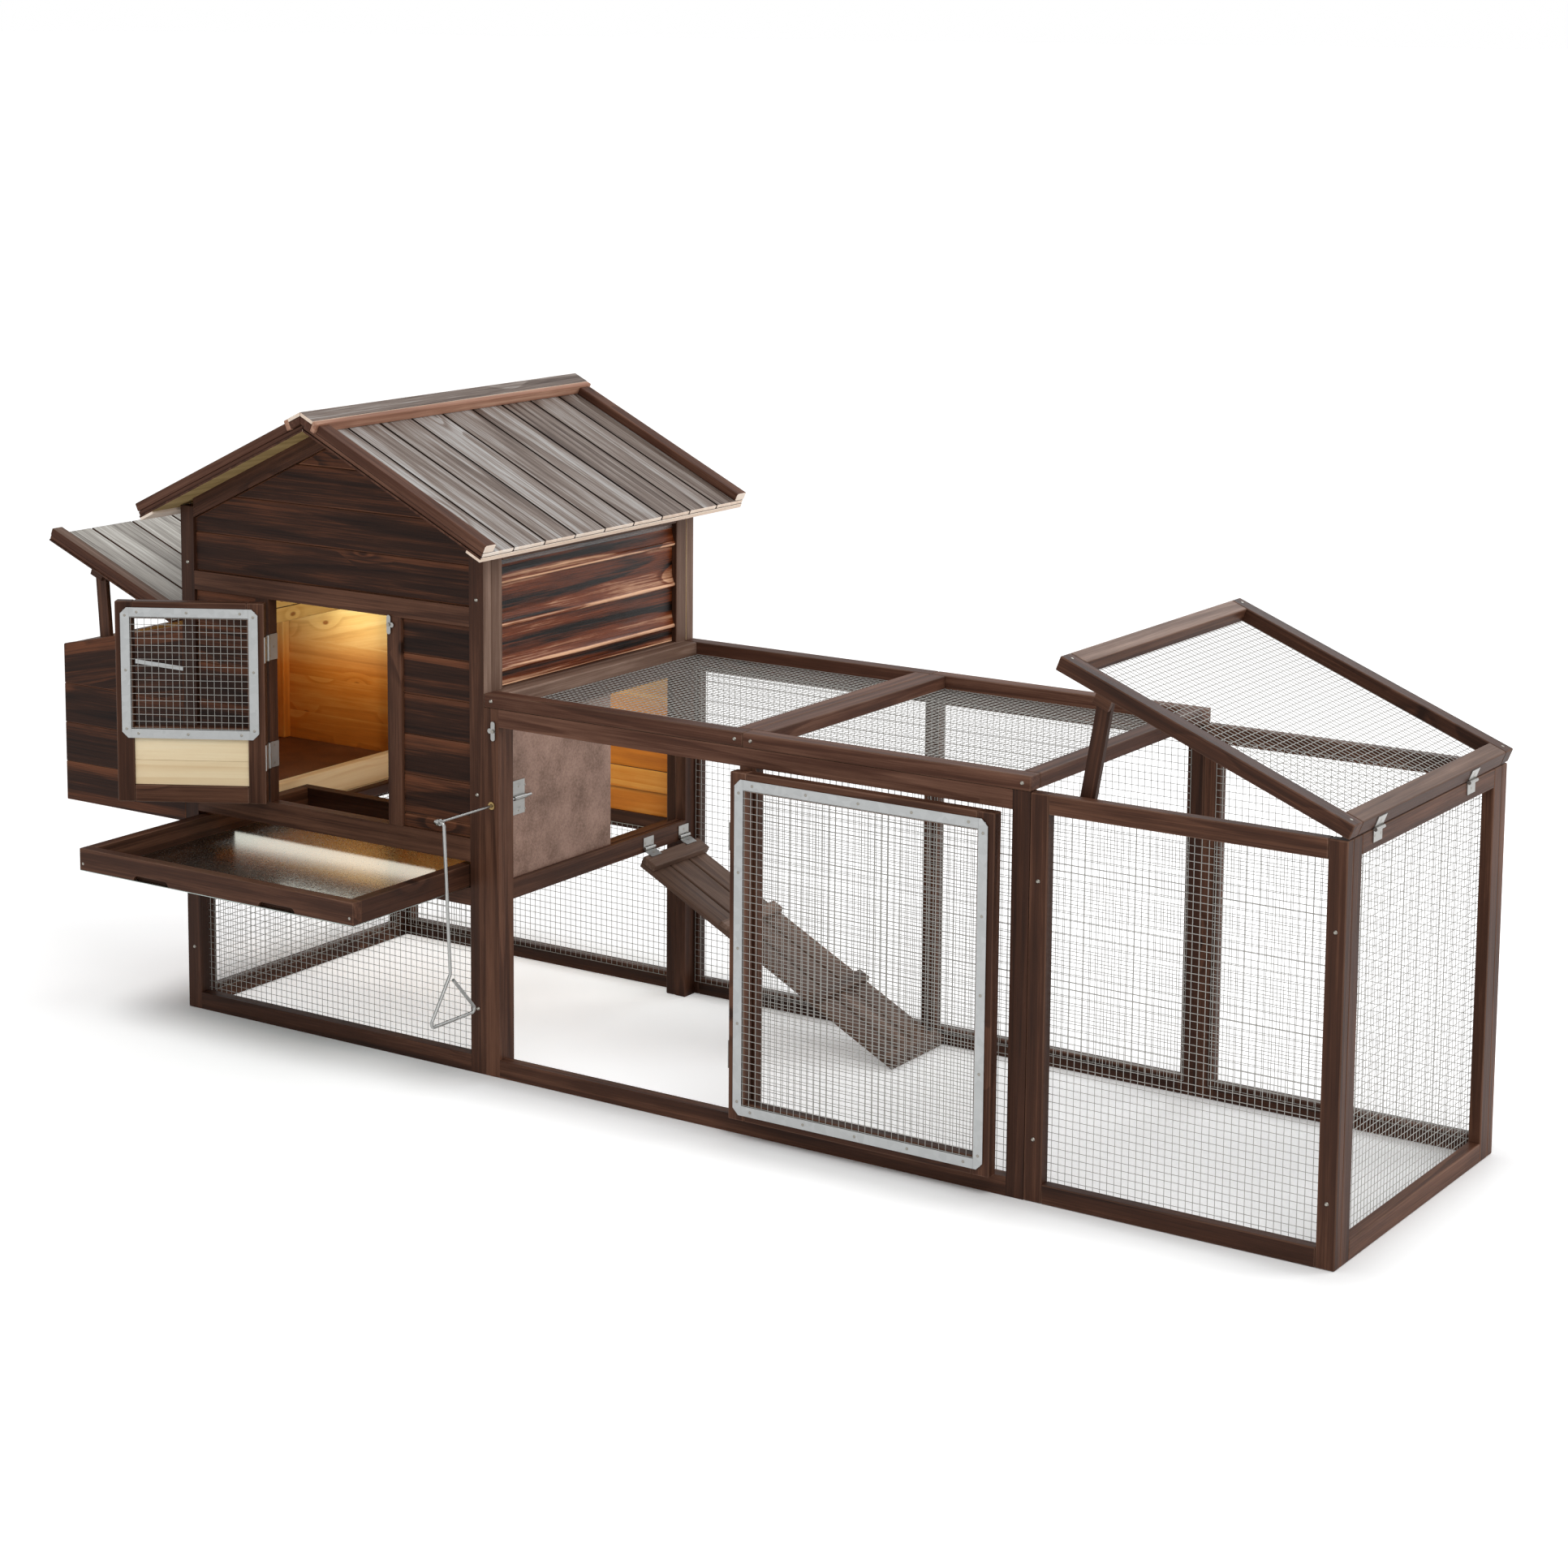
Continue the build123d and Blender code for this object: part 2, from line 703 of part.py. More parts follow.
with BuildPart() as partition_frame:
    with BuildSketch(facing_right(partition_x)):
        for low in (side_y[0], bay_y[1]):
            bar((low, low + timber_w), (0, run_h))
        for up in ((track_z, track_top), (run_h - timber_w, run_h)):
            bar(span(*bay_y), up)
    extrude(amount=timber_t)
    with BuildSketch(facing_front(side_y[0] + timber_w)):
        with Locations((rod_x, rod_z)):
            Circle(rod_r + rod_fit)
    extrude(amount=timber_w, mode=Mode.SUBTRACT)
    groove_x = (pop_x - slide_gap, pop_x + pop_door_t + slide_gap)
    with BuildSketch(facing_front(bay_y[1])):
        bar(groove_x, (track_top - pop_groove, track_top))
        bar(groove_x, (run_h - timber_w, run_h - timber_w + pop_groove))
    extrude(amount=bay_y[1] - bay_y[0], mode=Mode.SUBTRACT)

bay_z = lapped(timber_w, run_h - timber_w)
front_net = facing_front(timber_t + seat_gap + net_t)
back_net = facing_front(back_y - seat_gap)
roof_bay_y = span(timber_w, depth - timber_w)
roof_bay = span(timber_w, run_mid - 2 * joint_gap - timber_w)

with BuildPart() as run_mesh:
    net(front_net, lapped(mullion_x + timber_w, run_x[1] - timber_w), bay_z)
    back_edges = (run_x[0] + timber_w, run_mid, run_x[1] - timber_w)
    net(back_net, span(back_edges[0] - net_lap, run_mid), bay_z)
    net(back_net, span(run_mid, back_edges[2] + net_lap), bay_z)
    for right in (run_mid - joint_gap, run_w - joint_gap):
        net(lid_plane((right, top_z), 0), roof_bay_y, roof_bay)

with BuildPart() as end_mesh:
    end_bay = lapped(end_x[0] + timber_w, end_x[1] - timber_w)
    net(front_net, end_bay, bay_z)
    net(back_net, end_bay, bay_z)
    net(facing_right(end_x[1] - timber_t - seat_gap - net_t), lapped(*bay_y), bay_z)

# Run lid, raised on its prop
run_lid = lid_plane(run_lid_pin, run_lid_rest)
lid_along = (pin_out, pin_out + end_w - 2 * joint_gap)
lid_under = run_lid.offset(joint_gap)

with BuildPart() as run_lid_frame:
    framed_panel(lid_under, (0, depth), lid_along, lid_t)

with BuildPart() as run_lid_mesh:
    net(lid_under, roof_bay_y, span(lid_along[0] + timber_w, lid_along[1] - timber_w))

run_block_low = timber_t + seat_gap + net_t + swing_gap
run_block_y = (run_block_low, run_block_low + prop_block_t)
run_pivot = prop_pivot(run_lid, run_prop_along, joint_gap)

with BuildPart() as run_lid_prop_block:
    prop_block(run_lid, run_prop_along, joint_gap, run_block_y)

with BuildPart() as run_lid_prop:
    prop(run_pivot, run_block_y[1] + 2 * joint_gap, run_prop_lean, run_h - prop_below_rail)


# Doors, hinged at an upright edge and drawn along the door from the pin
def door_timbers(plane, along, up, rails=()):
    """A door's frame behind its closed front face."""
    framed_panel(plane.offset(-pin_out - timber_t), along, up, timber_t)
    with BuildSketch(plane.offset(-pin_out - timber_t)) as face:
        for rail in rails:
            bar(span(along[0] + timber_w, along[1] - timber_w), rail)
    extrude(face.sketch, amount=timber_t)


house_door = door_plane(house_pin, -house_door_angle)
house_along = (door_hinge_gap / 2, doorway_w - door_hinge_gap / 2 - door_gap)
house_up = (door_z + door_gap, head_z - door_gap)
house_bay = (house_along[0] + timber_w, house_along[1] - timber_w)
window = (house_up[1] - timber_w - house_window_h, house_up[1] - timber_w)
door_rail = (window[0] - house_mid_rail, window[0])
net_back = pin_out + timber_t + seat_gap
strip_back = net_back + net_t + seat_gap

with BuildPart() as house_door_frame:
    door_timbers(house_door, house_along, house_up, rails=(door_rail,))

with BuildPart() as house_door_panel:
    boarding(house_door.offset(-pin_out - board_recess - board_t), house_bay,
             span(house_up[0] + timber_w, door_rail[0]), door_board_pitch, door_board_pitch)

with BuildPart() as house_door_mesh:
    net(house_door.offset(-net_back - net_t), lapped(*house_bay, door_net_lap), lapped(*window, door_net_lap),
        window_pitch)

with BuildPart() as house_door_strips:
    edging(house_door.offset(-strip_back - strip_t), lapped(*house_bay, strip_lap), lapped(*window, strip_lap))

run_along = (door_hinge_gap / 2, run_door_from_left - door_hinge_gap / 2 - door_gap)
run_up = (timber_w + door_gap, run_h - timber_w - door_gap)
run_bay = (run_along[0] + timber_w, run_along[1] - timber_w)
run_bay_z = (run_up[0] + timber_w, run_up[1] - timber_w)


def run_door_face(out):
    """A plane across the opened run door, set out from its hinge line towards the front."""
    return Plane((run_pin[0], run_pin[1] - out, 0), x_dir=(1, 0, 0), z_dir=(0, -1, 0))


with BuildPart() as run_door_frame:
    framed_panel(run_door_face(pin_out), run_along, run_up, timber_t)

with BuildPart() as run_door_mesh:
    net(run_door_face(net_back), lapped(*run_bay, door_net_lap), lapped(*run_bay_z, door_net_lap))

with BuildPart() as run_door_strips:
    edging(run_door_face(strip_back), lapped(*run_bay, strip_lap), lapped(*run_bay_z, strip_lap))

# Hinges: leaves and pins on the fixed frames, flaps on what swings
house_hinge_z = (house_up[0] + house_hinge_in, house_up[1] - house_hinge_in)
run_hinge_z = (run_up[0] + run_hinge_in, run_up[1] - run_hinge_in)
lid_hinge_y = [depth * share for share in lid_hinge_shares]
nest_hinge_y = (run_hinge_in, nest_d - run_hinge_in)
ramp_y = (back_y - ramp_back_gap - ramp_w, back_y - ramp_back_gap)
ramp_hinge_y = (ramp_y[0] + small_hinge_l, ramp_y[1] - small_hinge_l)
butt_face = door_hinge_gap / 2
up_axis = (0, 0, 1)
down_axis = (0, 0, -1)
along_axis = (0, 1, 0)
back_axis = (0, -1, 0)

with BuildPart() as hinge_leaves:
    for z in house_hinge_z:
        hinge_half((*house_pin, z), (0, 1, 0), down_axis, outer_bands, butt_face)
        pin((*house_pin, z), up_axis)
    for z in run_hinge_z:
        hinge_half((*run_pin, z), (0, 1, 0), up_axis, outer_bands, butt_face)
        pin((*run_pin, z), up_axis)
    for y in lid_hinge_y:
        centre = (run_lid_pin[0], y, run_lid_pin[1])
        hinge_half(centre, (0, 0, -1), back_axis, small_bands, pin_out, **small)
        pin(centre, along_axis, small_hinge_l)
    for y in nest_hinge_y:
        centre = (nest_pin_x, y, nest_pin_z)
        hinge_half(centre, (0, 0, -1), along_axis, small_bands, pin_out, **small)
        pin(centre, along_axis, small_hinge_l)
    for y in ramp_hinge_y:
        centre = (ramp_pin[0], y, ramp_pin[1])
        hinge_half(centre, (0, 0, 1), along_axis, small_bands, pin_out, **small)
        pin(centre, along_axis, small_hinge_l)

with BuildPart() as house_door_hinge_flaps:
    for z in house_hinge_z:
        inward = -house_door.z_dir
        hinge_half((*house_pin, z), inward, up_axis, inner_bands, butt_face)

with BuildPart() as run_door_hinge_flaps:
    for z in run_hinge_z:
        hinge_half((*run_pin, z), (0, -1, 0), down_axis, inner_bands, butt_face)

with BuildPart() as run_lid_hinge_flaps:
    for y in lid_hinge_y:
        centre = (run_lid_pin[0], y, run_lid_pin[1])
        hinge_half(centre, run_lid.z_dir, along_axis, inner_bands, pin_out, **small)

with BuildPart() as nest_lid_hinge_flaps:
    for y in nest_hinge_y:
        hinge_half((nest_pin_x, y, nest_pin_z), nest_lid.y_dir, back_axis, inner_bands, pin_out, **small)

# Tray, drawn out at the front
tray_y = (-tray_out, tray_d - tray_out)
rail_z = (tray_z + tray_sheet_t + seat_gap, tray_z + tray_sheet_t + seat_gap + tray_rail_h)

with BuildPart() as tray_frame:
    with BuildSketch(Plane.XY.offset(rail_z[0])):
        for low in (tray_y[0], tray_y[1] - timber_t):
            bar(tray_x, (low, low + timber_t))
        for low in (tray_x[0], tray_x[1] - timber_t):
            bar((low, low + timber_t), span(tray_y[0] + timber_t, tray_y[1] - timber_t))
    extrude(amount=tray_rail_h)
    with BuildSketch(facing_front(tray_y[0] + timber_t / 2)):
        with Locations(*[(tray_x[0] * share + tray_x[1] * (1 - share), rail_z[0]) for share in (0.27, 0.73)]):
            SlotOverall(scoop_w, 2 * scoop_h)
    extrude(amount=timber_t, mode=Mode.SUBTRACT)

with BuildPart() as tray_sheet:
    block(tray_x, tray_y, (tray_z, tray_z + tray_sheet_t))

with BuildPart() as tray_runners:
    for x in (span(-house_w + timber_t, -house_w + 2 * timber_t), span(-2 * timber_t, -timber_t)):
        block(x, side_y, (slot_z - runner_h, slot_z))

# Pop door on its track, with the rod that pulls it and the handle on the rod
pop_y = (bay_y[0] + door_gap, bay_y[0] + door_gap + pop_door_w)
pop_z = (track_top - pop_groove + slide_gap, run_h - timber_w + pop_groove - slide_gap)

with BuildPart() as pop_door_panel:
    block((pop_x, pop_x + pop_door_t), pop_y, pop_z)

bracket_x = pop_x + pop_door_t + seat_gap
bracket_ys = (bracket_y - bracket_w / 2, bracket_y + bracket_w / 2)

with BuildPart() as pop_door_bracket:
    with BuildSketch(facing_front(bracket_ys[1])):
        bar((bracket_x, bracket_x + leaf_t), (rod_z - bracket_h / 2, rod_z + bracket_h / 2))
        with Locations((rod_x, rod_z)):
            Circle(rod_r + leaf_t)
            Circle(rod_r + pin_fit, mode=Mode.SUBTRACT)
        bar_cut((bracket_x - leaf_t, bracket_x), (rod_z - bracket_h, rod_z + bracket_h))
    extrude(amount=bracket_w)

eye_r = handle_r + pin_fit

with BuildPart() as pop_door_rod:
    with BuildSketch(facing_front(rod_in)):
        with Locations((rod_x, rod_z)):
            Circle(rod_r)
    extrude(amount=rod_in + rod_out - eye_r - eye_wall / 2)
    with BuildSketch(facing_right(rod_x - rod_r)):
        with Locations((-rod_out, rod_z)):
            Circle(eye_r + eye_wall)
            Circle(eye_r, mode=Mode.SUBTRACT)
    extrude(amount=2 * rod_r)

with BuildPart() as rod_grommet:
    with BuildSketch(facing_front(-seat_gap)):
        with Locations((rod_x, rod_z)):
            Circle(grommet_r)
            Circle(rod_r + rod_fit, mode=Mode.SUBTRACT)
    extrude(amount=grommet_t)

handle_x = rod_x + rod_r + handle_bend + 2 * slide_gap
neck = (handle_x, -rod_out + neck_in, rod_z - handle_drop)
grip_front = (handle_x, neck[1] - grip_fore, neck[2] - grip_h)
grip_back = (handle_x, neck[1] + grip_aft, neck[2] - grip_h)
grip_end = (handle_x, neck[1] + 2.6 * handle_r, neck[2] - 4 * handle_r)

with BuildPart() as pull_handle:
    with BuildLine() as wire:
        FilletPolyline((rod_x - rod_r - 2 * handle_r, -rod_out, rod_z), (handle_x, -rod_out, rod_z), neck,
                       grip_front, grip_back, grip_end, radius=handle_bend)
    with BuildSketch(Plane(wire.line @ 0, z_dir=wire.line % 0)):
        Circle(handle_r)
    sweep()

# Ramp, hung under the pop hole with its foot on the ground
ramp_tilt = radians(ramp_angle)
ramp_face = Plane((ramp_pin[0], 0, ramp_pin[1]), x_dir=(0, -1, 0), z_dir=(sin(ramp_tilt), 0, cos(ramp_tilt)))
ramp_across = (-ramp_y[1], -ramp_y[0])
ramp_top_z = -pin_out - batten_t - joint_gap
ramp_drop = -ramp_top_z + ramp_board_t
ramp_l = (ramp_pin[1] - ramp_foot_gap - ramp_drop * cos(ramp_tilt)) / sin(ramp_tilt)

with BuildPart() as ramp_boards:
    with BuildSketch(ramp_face.offset(ramp_top_z - ramp_board_t)):
        for across in even_spans(*ramp_across, ramp_board_count, ramp_board_gap):
            bar(across, (ramp_top_gap, ramp_l))
    extrude(amount=ramp_board_t)

with BuildPart() as ramp_cleats:
    with BuildSketch(ramp_face.offset(ramp_top_z + joint_gap)):
        for share in cleat_stations:
            bar(ramp_across, (ramp_l * share, ramp_l * share + cleat_w))
        bar(ramp_across, (ramp_l - cleat_w, ramp_l))
    extrude(amount=cleat_t)
    with BuildSketch(ramp_face.offset(ramp_top_z + joint_gap)):
        bar(ramp_across, (ramp_top_gap, ramp_top_gap + timber_w))
    extrude(amount=batten_t)

with BuildPart() as ramp_hinge_flaps:
    for y in ramp_hinge_y:
        hinge_half((ramp_pin[0], y, ramp_pin[1]), ramp_face.y_dir, back_axis, inner_bands, pin_out, **small)

# Turn-button latches and screw heads
house_latch = (doorway[1] + house_latch_in, head_z - house_latch_drop)
run_latch = (run_x[0] + run_latch_in, run_h - run_latch_drop)
latch_back = -seat_gap - latch_stand


def latch(centre, side):
    """A three-lobed turn button with a hole for its screw; the third lobe points to the given side."""
    with BuildSketch(facing_front(latch_back)) as face:
        with Locations(centre):
            SlotCenterToCenter(2 * latch_arm, 2 * latch_lobe_r, rotation=90)
            with Locations((side * latch_side_arm, 0)):
                Circle(latch_lobe_r)
            Circle(latch_screw_r + pin_fit, mode=Mode.SUBTRACT)
    extrude(face.sketch, amount=latch_t)


with BuildPart() as house_door_latch:
    latch(house_latch, 1)

with BuildPart() as run_door_latch:
    latch(run_latch, -1)

with BuildPart() as latch_screws:
    for centre in (house_latch, run_latch):
        for back, thick, radius in ((-seat_gap, latch_stand - turn_gap, 2 * latch_screw_r),
                                    (-seat_gap, latch_stand + latch_t + 2 * turn_gap, latch_screw_r),
                                    (latch_back - latch_t - turn_gap, screw_h, screw_r)):
            with BuildSketch(facing_front(back)):
                with Locations(centre):
                    Circle(radius)
            extrude(amount=thick)

post_screw_x = (-house_w + timber_w / 2, -timber_w / 2)
end_screw_x = (end_x[0] + timber_w / 2, end_x[1] - timber_w / 2)
lid_screw_x = (timber_w / 2, run_mid - timber_w / 2, run_mid + timber_w / 2, run_w - timber_w / 2)

with BuildPart() as frame_screws:
    with BuildSketch(facing_front(-seat_gap)):
        with Locations(*[(x, z) for x in post_screw_x for z in post_screw_z]):
            Circle(screw_r)
        with Locations(*[(x, z) for x in end_screw_x for z in end_screw_z]):
            Circle(screw_r)
        with Locations(*[(x, top_z + lid_t / 2) for x in lid_screw_x]):
            Circle(screw_r)
    extrude(amount=screw_h, taper=screw_taper)

pieces = {
    "house_front_frame": house_front_frame, "house_front_boards": house_front_boards,
    "house_back_frame": house_back_frame, "house_back_boards": house_back_boards,
    "house_left_frame": house_left_frame, "house_right_frame": house_right_frame,
    "house_side_boards": house_side_boards, "house_right_boards": house_right_boards,
    "house_mesh": house_mesh, "roof_underlay": roof_underlay, "roof_boards": roof_boards,
    "roof_battens": roof_battens, "ridge_cap": ridge_cap, "nest_box_walls": nest_box_walls,
    "nest_box_frame": nest_box_frame, "nest_box_floor": nest_box_floor, "nest_joint_strip": nest_joint_strip,
    "nest_lid_boards": nest_lid_boards, "nest_lid_prop_block": nest_lid_prop_block,
    "nest_lid_prop": nest_lid_prop, "nest_lid_hinge_flaps": nest_lid_hinge_flaps,
    "run_front_frame": run_front_frame, "run_back_frame": run_back_frame, "run_roof_frames": run_roof_frames,
    "run_mesh": run_mesh, "end_front_frame": end_front_frame, "end_back_frame": end_back_frame,
    "end_frame": end_frame, "end_mesh": end_mesh, "partition_frame": partition_frame,
    "run_lid_frame": run_lid_frame, "run_lid_mesh": run_lid_mesh, "run_lid_prop_block": run_lid_prop_block,
    "run_lid_prop": run_lid_prop, "run_lid_hinge_flaps": run_lid_hinge_flaps,
    "house_door_frame": house_door_frame, "house_door_panel": house_door_panel,
    "house_door_mesh": house_door_mesh, "house_door_strips": house_door_strips,
    "house_door_hinge_flaps": house_door_hinge_flaps, "run_door_frame": run_door_frame,
    "run_door_mesh": run_door_mesh, "run_door_strips": run_door_strips,
    "run_door_hinge_flaps": run_door_hinge_flaps, "hinge_leaves": hinge_leaves, "tray_frame": tray_frame,
    "tray_sheet": tray_sheet, "tray_runners": tray_runners, "pop_door_panel": pop_door_panel,
    "pop_door_bracket": pop_door_bracket, "pop_door_rod": pop_door_rod, "rod_grommet": rod_grommet,
    "pull_handle": pull_handle, "ramp_boards": ramp_boards, "ramp_cleats": ramp_cleats,
    "ramp_hinge_flaps": ramp_hinge_flaps, "house_door_latch": house_door_latch,
    "run_door_latch": run_door_latch, "latch_screws": latch_screws, "frame_screws": frame_screws,
}

for name, piece in pieces.items():
    piece.part.label = name
    export_step(piece.part, f"parts/{name}.step")
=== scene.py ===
"""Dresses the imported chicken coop: timber, welded mesh, zinc hardware, floor, light and camera."""

import json
import math
import random

import bmesh
import bpy
from mathutils import Matrix, Vector


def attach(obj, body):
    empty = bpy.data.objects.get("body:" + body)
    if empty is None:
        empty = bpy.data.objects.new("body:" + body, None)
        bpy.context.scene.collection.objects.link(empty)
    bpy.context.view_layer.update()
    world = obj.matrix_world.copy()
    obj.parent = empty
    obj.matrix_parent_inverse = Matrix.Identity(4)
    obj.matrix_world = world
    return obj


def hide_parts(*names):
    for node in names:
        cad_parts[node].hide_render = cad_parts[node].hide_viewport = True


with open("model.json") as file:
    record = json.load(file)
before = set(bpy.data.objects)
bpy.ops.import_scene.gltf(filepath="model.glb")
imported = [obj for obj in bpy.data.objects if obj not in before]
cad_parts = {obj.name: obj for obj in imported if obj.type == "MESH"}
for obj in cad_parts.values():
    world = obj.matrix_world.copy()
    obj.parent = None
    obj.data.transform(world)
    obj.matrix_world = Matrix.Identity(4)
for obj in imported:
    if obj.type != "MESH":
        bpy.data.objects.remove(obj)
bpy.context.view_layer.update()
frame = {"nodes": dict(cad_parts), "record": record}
nodes = frame["nodes"]
body_of = {node: body for body, members in frame["record"]["behaviour"]["bodies"].items() for node in members}
chance = random.Random(7)

# Sizes and places in metres
WELD_TOLERANCE = 1e-5
TIMBER_BEVEL = 0.002
BOARD_BEVEL = 0.0026
ROOF_BOARD_BEVEL = 0.0017
LID_BOARD_BEVEL = 0.0014
FINE_BEVEL = 0.0008
SHEET_BEVEL = 0.0005
PANEL_BEVEL = 0.0004
BOARD_GROWTH = 0.0005
PANEL_GROWTH = 0.0003
MESH_PITCH = 0.0127
WIRE_RADIUS = 0.00056
SCREW_RADIUS = 0.0026
SMALL_SCREW_RADIUS = 0.002
STRIP_SCREW_RISE = 0.001
PLATE_SCREW_RISE = 0.0003
TIMBER_SCREW_RISE = 0.0005
HOUSE_FLOOR = 0.386
HOUSE_MIDDLE = Vector((-0.36, 0.32, 0.7))
NEST_MIDDLE = Vector((-0.88, 0.31, 0.55))
SILL_DEPTH = 0.05
SILL_TOLERANCE = 0.01
RIDGE_BEAM_HALF = 0.017
LONGEST_BATTEN = 0.6
ROOF_END = 0.33
THICKEST_UNDERLAY = 0.0045
THICKEST_LID_SHEET = 0.006
THICKEST_LID_BOARD = 0.012
# Height above which the log wall is charred and painted with the eave's shade
CHAR_SHADE_LINE = 0.915
POST_LINE = -0.05
WALL_RAIL = 0.1
TRAY_FRONT = -0.25
# Heights over which the pine's painted light on the upper house walls takes over
PAINTED_LIGHT_FROM, PAINTED_LIGHT_TO = 0.53, 0.67

SHARP_ANGLE = math.radians(20)
FLAT_ANGLE = math.radians(1)

# Cosines between a face or a timber and a direction
PARALLEL = 0.99
ALIGNED = 0.9
FACING = 0.8
UPWARD = 0.7
LEANING = 0.5
TILTED = 0.3
SQUARE = 0.1

# Facets round a wire and a screw head, and the head's rings as shares of its radius and rise
WIRE_SIDES = 5
SCREW_SIDES = 12
HEAD_RINGS = ((1.0, 0.0), (1.0, 0.35), (0.72, 0.85))

# Screw places as shares of half a strip, plate or timber, along it or along and across it
HOUSE_STRIP_SCREWS = (-0.86, 0.04, 0.88)
RUN_STRIP_SCREWS = (-0.92, -0.45, 0.0, 0.45, 0.92)
PLATE_SCREWS = ((-0.7, 0.25), (0.0, -0.35), (0.7, 0.25))
LID_SCREWS = ((-0.95, 0), (0.95, 0))
TRAY_SCREWS = ((-0.975, 0.4), (0.975, 0.4))
BRACKET_SCREWS = ((-0.7, -0.55), (-0.7, 0.55), (0.7, -0.55), (0.7, 0.55))

# The least share of a hinge's broadest face that its other broad face has
PLATE_FACE_SHARE = 0.5
HINGE_NODES = ("hinge_leaves", "house_door_hinge_flaps", "run_door_hinge_flaps", "run_lid_hinge_flaps",
               "nest_lid_hinge_flaps", "ramp_hinge_flaps")

# Timber patterns: how often each one changes in a metre along, across and through the grain
RING_SCALE = (0.5, 12.0, 12.0)
STREAK_SCALE = (1.1, 95.0, 95.0)
FIBRE_SCALE = (9.0, 420.0, 420.0)
PATCH_SCALE = (3.0, 18.0, 18.0)
RING_STOPS = ((0.0, 0.75), (0.5, 0.6), (0.85, 0.0), (0.95, 0.2), (1.0, 0.75))
EVEN_RIM = ((0.0, 0.5), (1.0, 0.5))
TONE_SPREAD, ROOF_SPREAD = 0.14, 0.2
GRAIN_SHIFT = 40.0
RING_RELIEF = 0.3
RELIEF_DEPTH = 0.001
COAT_ROUGHNESS = 0.2

# Knots: how strongly and how far they bend the rings, where their core ends, and the step to no knot
KNOT_BEND = 1.3
KNOT_REACH = 0.3
KNOT_CORE, KNOT_EDGE = 0.03, 0.06
KNOT_STEP = 0.01

# Sheet metal and hardboard: their mottling in a metre, and how far it shows
SPANGLE_ROUGHNESS = 0.6
FINE_MOTTLE, BROAD_MOTTLE = 260.0, 16.0
FINE_SHARE, BROAD_SHARE = 0.45, 0.55
MOTTLE_LOW, MOTTLE_HIGH = 0.36, 0.64
BOARD_GLOSS = 0.3

# The Mix node's numbers for its colour sockets
MIX_FACTOR, MIX_FIRST, MIX_SECOND = 0, 6, 7
MIX_RESULT = 2


# Materials
def linear(red, green, blue):
    """An sRGB colour given from 0 to 255, as linear values with alpha."""
    def decode(value):
        value /= 255
        return value / 12.92 if value <= 0.04045 else ((value + 0.055) / 1.055) ** 2.4
    return (decode(red), decode(green), decode(blue), 1.0)


def add(tree, kind, inputs=None, **settings):
    """A shader node with its settings; an input is given a value or linked to a socket."""
    made = tree.nodes.new("ShaderNode" + kind)
    for name, value in settings.items():
        setattr(made, name, value)
    for name, value in (inputs or {}).items():
        if isinstance(value, bpy.types.NodeSocket):
            tree.links.new(value, made.inputs[name])
        else:
            made.inputs[name].default_value = value
    return made


def ramp(tree, factor, stops):
    """A colour ramp through (position, colour) stops; a plain number stands for a grey."""
    made = add(tree, "ValToRGB", {"Fac": factor})
    elements = made.color_ramp.elements
    while len(elements) < len(stops):
        elements.new(0.5)
    for element, (position, colour) in zip(elements, stops):
        element.position = position
        element.color = colour if isinstance(colour, tuple) else (colour, colour, colour, 1)
    return made.outputs["Color"]


def mix(tree, factor, first, second, blend="MIX"):
    """A colour mix; the factor and either colour are values or sockets."""
    made = add(tree, "Mix", {MIX_FACTOR: factor, MIX_FIRST: first, MIX_SECOND: second}, data_type="RGBA",
               blend_type=blend)
    return made.outputs[MIX_RESULT]


def sums(tree, operation, *values):
    """Arithmetic on values or sockets."""
    return add(tree, "Math", dict(enumerate(values)), operation=operation).outputs[0]


def new_material(name):
    """A material with an empty principled shader; returns it with its tree and shader."""
    material = bpy.data.materials.new(name)
    material.use_nodes = True
    tree = material.node_tree
    return material, tree, tree.nodes["Principled BSDF"]


def stretched(tree, scale):
    """The piece's own coordinates, along, across and through its grain, scaled."""
    grain = add(tree, "Attribute", attribute_name="grain").outputs["Vector"]
    return add(tree, "VectorMath", {0: grain, 1: scale}, operation="MULTIPLY").outputs["Vector"]


def noise(tree, scale, detail, roughness=0.5):
    """Noise drawn out along the grain, from 0 to 1."""
    return add(tree, "TexNoise", {"Vector": stretched(tree, scale), "Scale": 1.0, "Detail": detail,
                                  "Roughness": roughness}).outputs["Fac"]


def shades(tree, value, colours):
    """A dark, a middle and a light colour, mixed by a value from 0 to 1."""
    return ramp(tree, value, tuple(zip((0.0, 0.5, 1.0), colours)))


